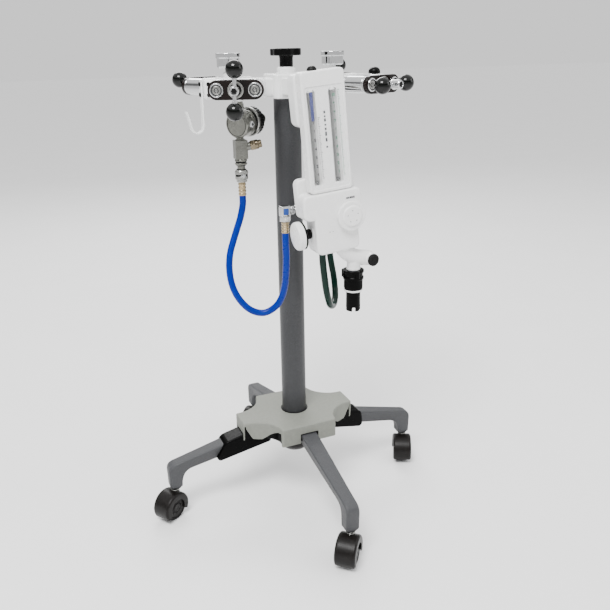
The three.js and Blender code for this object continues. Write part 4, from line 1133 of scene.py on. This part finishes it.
def make_regulator():
    """The regulator that hangs under the crossbar, with its grip ring and gauge port."""
    front = REG - REG_DIR * 9
    r = REG_R
    body = turned(bmesh.new(), [(0, 0), (r - 2, 0), (r, 1.6), (r, 20), (r - 0.7, 20.6), (r - 0.7, 21.6),
                                (r, 22.2), (r, 30), (0, 30)], front, REG_DIR, 80, 0.6)
    rod(body, REG + Vector((0, 0, -29.6)), REG + Vector((0, 0, -10)), 6.8)
    rod(body, REG + Vector((0, 0, 10)), REG + Vector((0, 0, 39.5)), 8)
    hexagon(body, 10.4, 0, 9, REG + Vector((0, 0, 27)))
    hexagon(body, 9.2, 0, 3.6, REG + Vector((0, 0, -29.6)))
    piece("regulator_body", body, "satin_nickel", STAND, "regulator")
    # a thin black ring on the front face: painted shade for a groove
    plate = turned(bmesh.new(), band(19.6, 20.6, -0.25, 0.5), front, REG_DIR, 80, 0.1)
    piece("regulator_face_groove_shade", plate, "soft_black", STAND, slot="regulator")
    rear = turned(bmesh.new(), [(0, 33), (REG_RIM - 1.6, 33), (REG_RIM, 34.6), (REG_RIM, 39.4),
                                (REG_RIM - 1, 40.4), (0, 40.4)], front, REG_DIR, 80, 0.6)
    piece("regulator_rear", rear, "turned_steel", STAND, slot="regulator")
    stub = turned(bmesh.new(), [(0, 53), (18, 53), (14.5, 56), (13, 56.5), (13, 63), (0, 63)], front,
                  REG_DIR, 64, 0.5)
    turned(stub, [(0, 62), (10, 62), (10, 80), (8.6, 82.4), (4, 83), (3.6, 81.6), (0, 81.6)], front,
           REG_DIR, 48, 0.5)
    for k in range(12):
        turned(stub, [(9.6, 65 + k * 1.2), (10.5, 65.4 + k * 1.2), (9.6, 65.8 + k * 1.2),
                      (9.6, 65 + k * 1.2)], front, REG_DIR, 48, 0)
    piece("regulator_stub", stub, "satin_nickel", STAND, slot="regulator")
    dark = turned(bmesh.new(), disc(r - 1.4, 29.4, 33.6), front, REG_DIR, 72, 0.3)
    prism(dark, lobed(r + 1.6, 0.5, 30, 120), 40.2, 54, 1.6, facing(REG_DIR, front))
    piece("regulator_grip_ring", dark, "soft_black", STAND, slot="regulator")
    port_dir = Vector((0.59, -0.81, 0)).normalized()
    at = front + REG_DIR * 13
    port = hexagon(bmesh.new(), 6.6, 18, r + 2.2, at, port_dir, spin=0.3)
    turned(port, [(2.7, r + 1.6), (5.4, r + 1.6), (5.4, r + 3.0), (4.8, r + 3.5), (3.0, r + 3.5),
                  (2.7, r + 3.1), (2.7, r + 1.6)], at, port_dir, 40, 0.3)
    piece("regulator_port", port, "chrome", STAND, slot="regulator")
    # a black disc filling the port's opening: painted shade inside the bore
    bore_shade = turned(bmesh.new(), disc(2.8, r + 1.4, r + 2.6), at, port_dir, 32, 0.1)
    piece("regulator_port_bore_shade", bore_shade, "soft_black", STAND, slot="regulator")


def make_outlet():
    """The tee under the regulator, its side branch and the quick coupler."""
    x, y = REG.x, REG.y
    top = corner("regulator_outlet", 1).z
    body = block(bmesh.new(), x - 11.5, x + 11.5, y - 10.5, y + 10.5, 727, top, 2.2, 1.0)
    rod(body, (x, y, 706), (x, y, 728), 7.2)
    turned(body, [(0, 716), (10.5, 716), (11.5, 717.4), (11.5, 720), (9.6, 720.6), (9.6, 722.4),
                  (11.5, 723), (11.5, 725), (10.5, 727), (0, 727)], (x, y, 0), ease=0.4)
    branch = Vector((0.92, -0.28, 0.2)).normalized()
    at = Vector((x, y, 746))
    rod(body, at, at + branch * 21, 7.4)
    piece("regulator_tee_block", body, "satin_nickel", STAND, "regulator_outlet")
    nut = hexagon(bmesh.new(), 10.0, 19, 28, at, branch)
    turned(nut, [(0, 27), (8.2, 27), (8.8, 29), (8.8, 33), (7.2, 34), (7.2, 38.5), (6.2, 40), (3.4, 40),
                 (3, 37), (0, 37)], at, branch, 48, 0.5)
    piece("regulator_tee_branch", nut, "brass", STAND, slot="regulator_outlet")
    coupler = turned(bmesh.new(), [(0, 684.3), (9, 684.3), (10, 685.5), (10, 689), (12, 690.5), (12, 695),
                                   (11.2, 695.8), (11.2, 698.8), (12, 699.6), (12, 704.5), (10.5, 707),
                                   (0, 707)], (x, y, 0), ease=0.4)
    ridges(coupler, 28, 11.9, (x, y, 700.3), (0, 0, 3.6), 0.55)
    piece("regulator_coupler", coupler, "turned_steel", STAND, slot="regulator_outlet")
    # black rings drawn as seals in the grooves and joints of the tee, coupler and neck: painted shade for
    # the dark gaps between the parts
    gap_shade = bmesh.new()
    for z in (686.4, 707.2, 714.6, 728.4):
        turned(gap_shade, band(6, 9.2, z, z + 1.3), (x, y, 0), ease=0.3)
    turned(gap_shade, band(8, 10.2, 720.4, 722.6), (x, y, 0), ease=0.3)
    turned(gap_shade, band(9, 11.6, 695.7, 698.9), (x, y, 0), ease=0.3)
    piece("regulator_gap_shade", gap_shade, "soft_black", STAND, slot="regulator_outlet")
    lever = block(bmesh.new(), x - 2.6, x + 2.6, y - 14.6, y - 11, 693.5, 700.5, 1.6, 0.8)
    rod(lever, (x - 4, y - 12.4, 697), (x + 4, y - 12.4, 697), 1.4, segs=20)
    piece("regulator_release", lever, "chrome", STAND, slot="regulator_outlet")


def ribbed(z0, z1, r):
    """Lathe profile of a crimped ferrule with four ribs."""
    line = [(0, z0), (r - 0.7, z0)]
    step = (z1 - z0) / 4
    for i in range(4):
        z = z0 + i * step
        line += [(r, z + 0.22 * step), (r, z + 0.62 * step), (r - 1.0, z + 0.74 * step),
                 (r - 1.0, z + 0.92 * step)]
    return line + [(r - 0.7, z1), (0, z1)]


def make_ferrule():
    lo, hi = corners("hose_ferrule_upper")
    piece("hose_ferrule_crimped", turned(bmesh.new(), ribbed(lo.z, hi.z, 7.4), (REG.x, REG.y, 0),
                                         ease=0.35), "pale_brass", STAND, "hose_ferrule_upper")


# ---- flowmeter ----
FM_X, FM_Y, FM_Z = (-36, 44.5), (-147, -124), (678, 882)    # the housing's box
TUBES = (-19.5, 20.5)            # the tubes' places along X
WINDOW_Z = (690, 852)            # the windows over them
FLOAT_TOP = 848.2                # the floats' travel ends just under this height


def make_flowmeter():
    """The leaning flowmeter head: housing, two tubes with floats, scales and pane."""
    front = FM_Y[0]
    body = front_block(bmesh.new(), *FM_X, *FM_Y, *FM_Z, 7, 3)
    cuts = []
    cuts.append(front_block(bmesh.new(), FM_X[0] + 5, FM_X[1] - 5, front - 6, front + 1.2, 684, 857, 4, 0))
    for x in TUBES:
        cuts.append(front_block(bmesh.new(), x - 8, x + 8, front - 8, front + 11.2, *WINDOW_Z, 6, 0))
    piece("flowmeter_housing", carved(body, *cuts), "white_plastic", STAND, "flowmeter_body", to=LEAN,
          crease=35, bevel=0.5)
    cap = turned(bmesh.new(), [(0, 880.6), (8.5, 880.6), (8.5, 884), (5.4, 888.4), (0, 889.5)],
                 (-9, FM_Y[1] - 11, 0), ease=1.6)
    piece("flowmeter_top_cap", cap, "soft_black", STAND, slot="flowmeter_body", to=LEAN)
    axis_y = front + 6
    tubes, sockets = bmesh.new(), bmesh.new()
    for x in TUBES:
        turned(tubes, [(3.8, WINDOW_Z[0] + 1), (4.9, WINDOW_Z[0] + 1), (4.9, WINDOW_Z[1] - 1),
                       (4.1, WINDOW_Z[1] - 1), (3.8, WINDOW_Z[0] + 1)], (x, axis_y, 0), ease=0.2, segs=40)
        for z0, z1 in ((WINDOW_Z[0] - 0.5, WINDOW_Z[0] + 2.6), (FLOAT_TOP, WINDOW_Z[1] + 0.5)):
            turned(sockets, disc(5.4, z0, z1), (x, axis_y, 0), ease=0.4, segs=40)
    piece("flowmeter_tubes", tubes, "tube_glass", STAND, slot="flowmeter_window", to=LEAN)
    piece("flowmeter_tube_sockets", sockets, "white_matt", STAND, slot="flowmeter_body", to=LEAN)
    upright = Matrix.Rotation(math.radians(90), 4, "X")
    dark, green = [], []
    for x, count, gap, where in ((TUBES[0], 7, 14.6, dark), (TUBES[1], 10, 14.3, green)):
        ticks = bmesh.new()
        for k in range(count * 5 + 1):
            z = WINDOW_Z[0] + 14 + k * gap / 5
            if z > WINDOW_Z[1] - 3:
                break
            long = k % 5 == 0
            front_block(ticks, x + 8.8, x + (12.4 if long else 10.6), front + 0.6, front + 1.3, z - 0.35,
                        z + 0.35, 0.1, 0)
        where.append(ticks)
        for k in range(count):
            z = WINDOW_Z[0] + 14 + gap * (k + 0.5)
            if z > WINDOW_Z[1] - 6:
                break
            where.append(digits(str(1 + k), 6.4, (x + 0.4, front + 0.5, z), upright, 0.3))
    label = bmesh.new()
    for z, h in ((814, 4), (807, 2.5), (801, 5), (793, 2.5), (786, 4), (778, 7), (768, 6), (756, 3)):
        front_block(label, 0.7, 3.7, front + 0.6, front + 1.3, z - h / 2, z + h / 2, 0.3, 0)
    dark.append(label)
    piece("flowmeter_scale_left", merged(dark), "print_dark", STAND, slot="flowmeter_body", to=LEAN,
          weighted=False)
    piece("flowmeter_scale_right", merged(green), "print_green", STAND, slot="flowmeter_body", to=LEAN,
          weighted=False)
    stripe = block(bmesh.new(), TUBES[0] - 3.1, TUBES[0] + 3.1, front + 0.45, front + 0.95,
                   WINDOW_Z[1] - 50, WINDOW_Z[1] - 3, 0.2, 0)
    piece("flowmeter_blue_band", stripe, "print_blue", STAND, slot="flowmeter_body", to=LEAN)
    pane = front_block(bmesh.new(), FM_X[0] + 5.3, FM_X[1] - 5.3, front - 0.5, front + 0.3, 684.3, 856.7, 4,
                       0.2)
    piece("flowmeter_pane", pane, "clear_panel", STAND, "flowmeter_window", to=LEAN)
    for side, x in zip(("left", "right"), TUBES):
        z = WINDOW_Z[0] + 3.4
        bob = turned(bmesh.new(), [(0, z), (1.8, z), (3.5, z + 3.4), (3.6, z + 5.4), (2.4, z + 6.6),
                                   (0, z + 6.6)], (x, axis_y, 0), ease=0.4, segs=32)
        piece(f"flow_float_{side}_bob", bob, "phenolic", f"float_{side}", f"flow_float_{side}", to=LEAN)


# ---- control block and its controls ----
BLOCK_X = (-53, 60)
LOW_Y = (-149, -105)             # front and back of its lower part
KNOB = Vector((0, -127, 605))
DIAL = (34, 630)


def make_control_block():
    """The moulded block under the flowmeter, fused from boxes."""
    bm = front_block(bmesh.new(), *BLOCK_X, *LOW_Y, 632, FM_Z[0] - 0.6, 10, 4)
    front_block(bm, *BLOCK_X, FM_Y[1] + 0.6, LOW_Y[1], 640, 703, 10, 3)
    front_block(bm, -34.5, 50, *LOW_Y, 566, 652, 11, 4)
    turned(bm, [(0, 20), (15, 20), (14, 36.5), (0, 36.5)], KNOB, (-1, 0, 0), 48, 1)
    bm = cast(bm, 1.1, 6)
    piece("control_block_moulding", bm, "white_plastic", STAND, "control_block", to=LEAN, crease=180,
          weighted=False)
    seat = turned(bmesh.new(), [(0, 0), (29.5, 0), (29.5, 1.2), (28, 2.2), (0, 2.2)],
                  (DIAL[0], LOW_Y[0] + 1.9, DIAL[1]), (0, -1, 0), 72, 0.5)
    piece("control_block_dial_seat", seat, "white_matt", STAND, slot="control_block", to=LEAN)
    label = bmesh.new()
    for k, w in enumerate((2.8, 2.6, 3.1, 2.6, 2.8)):
        x = DIAL[0] - 5 + k * 3.4
        front_block(label, x, x + w, LOW_Y[0] - 0.12, LOW_Y[0] + 0.6, 659.8, 663.4, 0.5, 0)
    for x0, x1 in ((-9.5, -6.5), (-3, -0.5)):
        front_block(label, x0, x1, LOW_Y[0] - 0.12, LOW_Y[0] + 0.6, 606.5, 607.3, 0.3, 0)
    piece("control_block_label", label, "print_dark", STAND, slot="control_block", to=LEAN, weighted=False)
    gland = bmesh.new()
    x, y = GREEN_ROUTE[-1][:2]
    turned(gland, band(HOSE_R + 0.1, 9.4, 562, 568), (x, y, 0), ease=0.6)
    piece("control_block_hose_gland", gland, "white_plastic", STAND, slot="control_block")


def make_mixture_knob():
    """The round knob on the side of the block."""
    face = turned(bmesh.new(), [(0, 54.8), (24.8, 54.8), (25.4, 55.6), (25.4, 64), (23.6, 66.6), (0, 67)],
                  KNOB, (-1, 0, 0), 96, 1.2)
    ridges(face, 60, 25.1, KNOB - Vector((57, 0, 0)), (-6.4, 0, 0), 0.5)
    piece("mixture_knob_disc", face, "white_plastic", "mixture_knob", "mixture_knob", to=LEAN)
    dark = turned(bmesh.new(), [(0, 51), (24.4, 51), (25.4, 52), (25.4, 54), (24.6, 55), (0, 55)], KNOB,
                  (-1, 0, 0), 96, 0.5)
    turned(dark, disc(8.6, 37, 51.4), KNOB, (-1, 0, 0), 48, 0.6)
    ridges(dark, 12, 8.4, KNOB - Vector((38.5, 0, 0)), (-11, 0, 0), 0.9, 10, 0.3)
    piece("mixture_knob_rim", dark, "phenolic", "mixture_knob", slot="mixture_knob", to=LEAN)
    spindle = rod(bmesh.new(), KNOB - Vector((26, 0, 0)), KNOB - Vector((40, 0, 0)), 4.9)
    piece("mixture_knob_spindle", spindle, "turned_steel", "mixture_knob", slot="mixture_knob", to=LEAN)


def make_dial():
    """The dial on the front of the block."""
    x, y, z = DIAL[0], LOW_Y[0], DIAL[1]
    turn = Matrix.Translation((x, y, z)) @ Matrix.Rotation(math.radians(90), 4, "X")
    bm = prism(bmesh.new(), lobed(26.7, 0.3, 60, 180), 0.5, 9.5, 1.2, turn)
    turned(bm, [(0, 8.6), (20, 8.6), (18.4, 11.6), (16.6, 12.5), (0, 12.2)], (x, y, z), (0, -1, 0), 72, 0.9)
    piece("flow_dial_cap", bm, "white_plastic", "flow_dial", "flow_dial", to=LEAN)
    # five dark dots where the dial has finger dimples, painted dark for their shade, and a dark centre
    dots = bmesh.new()
    for i in range(5):
        a = math.radians(20 + i * 72)
        c = Vector((x + 11 * math.cos(a), y - 12.0, z + 11 * math.sin(a)))
        turned(dots, disc(1.4, 0, 0.4), c, (0, -1, 0), 20, 0.1)
    turned(dots, disc(5.8, -1, 1), (x, y, z), (0, -1, 0), 32, 0.2)
    piece("flow_dial_dots", dots, "print_dark", "flow_dial", slot="flow_dial", to=LEAN)


# ---- inlet elbow ----
def make_elbow():
    """The inlet that the blue hose comes up to."""
    x, y = BLUE_ROUTE[-1][:2]
    ferrule = turned(bmesh.new(), ribbed(600, 622, 7.3), (x, y, 0), ease=0.35)
    piece("inlet_ferrule", ferrule, "pale_brass", STAND, slot="inlet_elbow")
    bm = hexagon(bmesh.new(), 10.4, 621.6, 631, (x, y, 0))
    block(bm, x - 9, x + 11, y - 5, y + 10, 630, 649.3, 4, 2)
    rod(bm, (x + 8, y + 2, 640), (-22, y + 2, 642), 6.5)
    rod(bm, (-22, y + 3, 642), (-22, LOW_Y[1] + 0.6, 642), 7.4)
    turned(bm, disc(8.6, 0, 6), (x + 10.5, y + 2, 640.4), (1, 0, 0.06), 40, 0.8)
    piece("inlet_elbow_body", bm, "chrome", STAND, "inlet_elbow")
    tag = front_block(bmesh.new(), x - 4.5, x + 5.5, y - 5.9, y - 4.2, 634, 645.5, 1.5, 0.4)
    piece("inlet_elbow_tag", tag, "tag_blue", STAND, slot="inlet_elbow")


# ---- bag tee ----
TEE = (73.5, -130)               # the bag connector's axis
TEE_END = (103, -130, 544)
TEE_R = 14.5
TEE_RUN = ((36, -130, 590), (47, -130, 575), (60, -130, 559), (78, -130, 549), TEE_END)


def make_tee():
    """The bent outlet tube under the block, with its side cap."""
    x, y = TEE
    bm = swept(bmesh.new(), smooth_line(TEE_RUN, per=6), circle(TEE_R))
    turned(bm, ball(TEE_R, 10), TEE_END, segs=40, ease=0)
    rod(bm, (x, y, 556), (x, y, 526.2), 12.4)
    rod(bm, TEE_END, (105, -145.8, 544), 12.8, 12)
    bm = cast(bm, 0.9, 6)
    cutter = front_block(bmesh.new(), -34, 50.2, -190, -60, 566.3, 700, 10, 0, to=LEAN)
    bm = carved(bm, cutter)
    piece("bag_tee_moulding", bm, "white_plastic", STAND, "bag_tee", crease=70, weighted=False)
    collar = turned(bmesh.new(), [(9.6, 526), (13.2, 526), (13.2, 529), (12.4, 530), (9.6, 530),
                                  (9.6, 526)], (x, y, 0), ease=0.4)
    piece("bag_tee_collar", collar, "white_plastic", STAND, slot="bag_tee")
    cap = turned(bmesh.new(), [(0, 0.2), (11, 0.2), (11.6, 1), (11.6, 4.3), (10.6, 5.4), (8.4, 5.4),
                               (7.8, 4.4), (2.4, 4.4), (2.0, 5.0), (0, 5.0)], (105, -146.2, 544),
                 (2, -16, 0), 56, 0.4)
    piece("tee_cap_disc", cap, "soft_black", STAND, "tee_cap")


def make_bag_connector():
    """The black swivelling connector for the breathing bag."""
    x, y = TEE
    body = turned(bmesh.new(), [(10, 445), (13.5, 445), (13.5, 482), (16, 483), (17.3, 485), (17.3, 506),
                                (19.5, 508), (19.5, 512), (18, 513.5), (18, 520), (20, 521), (20, 525),
                                (19, 525.7), (10, 525.7), (10, 445)], (x, y, 0), ease=0.7, segs=72)
    cuts = []
    # notches of four depths in the open end
    for a, h in ((40, 455), (130, 459), (250, 453), (320, 458)):
        c = Vector(TEE) + polar(12, math.radians(a))
        cuts.append(rod(bmesh.new(), (*c, 430), (*c, h), 3.6, ease=1.5))
    body = carved(body, *cuts)
    piece("bag_connector_sleeve", body, "black_gloss", "bag_connector", "bag_connector", bevel=0.3)
    lugs = bmesh.new()
    for a in (30, 150, 270):
        c = Vector(TEE) + polar(18, math.radians(a))
        rod(lugs, (*c, 511), (*c, 525.6), 4, ease=1.0, segs=32)
    ridges(lugs, 30, 17.2, (x, y, 490), (0, 0, 15), 0.6, ease=0.3)
    piece("bag_connector_lugs", lugs, "black_gloss", "bag_connector", slot="bag_connector")
    stripe = turned(bmesh.new(), [(14, 483.6), (16.9, 483.8), (17.6, 485.4), (17.6, 487.4), (14, 487.4),
                                  (14, 483.6)], (x, y, 0), ease=0.3, segs=72)
    piece("bag_connector_stripe", stripe, "white_plastic", "bag_connector", slot="bag_connector")


# ---- the whole stand ----
make_camera()
make_studio()
make_ferrule()
make_elbow()
make_hose("blue_hose_tube", BLUE_ROUTE, "hose_blue", "blue_hose")
make_hose("green_hose_tube", GREEN_ROUTE, "hose_green", "green_hose")
make_hub()
for leg_side in SIDES:
    make_leg(leg_side)
    make_caster(leg_side)
make_cover()
make_liner()
make_mast()
make_manifold()
make_plug()
make_clamp_knob()
for yoke_name in YOKES:
    make_yoke(yoke_name)
make_gauge("left")
make_gauge("right")
make_hook()
make_regulator()
make_outlet()
make_flowmeter()
make_control_block()
make_mixture_knob()
make_dial()
make_tee()
make_bag_connector()

bpy.context.view_layer.update()
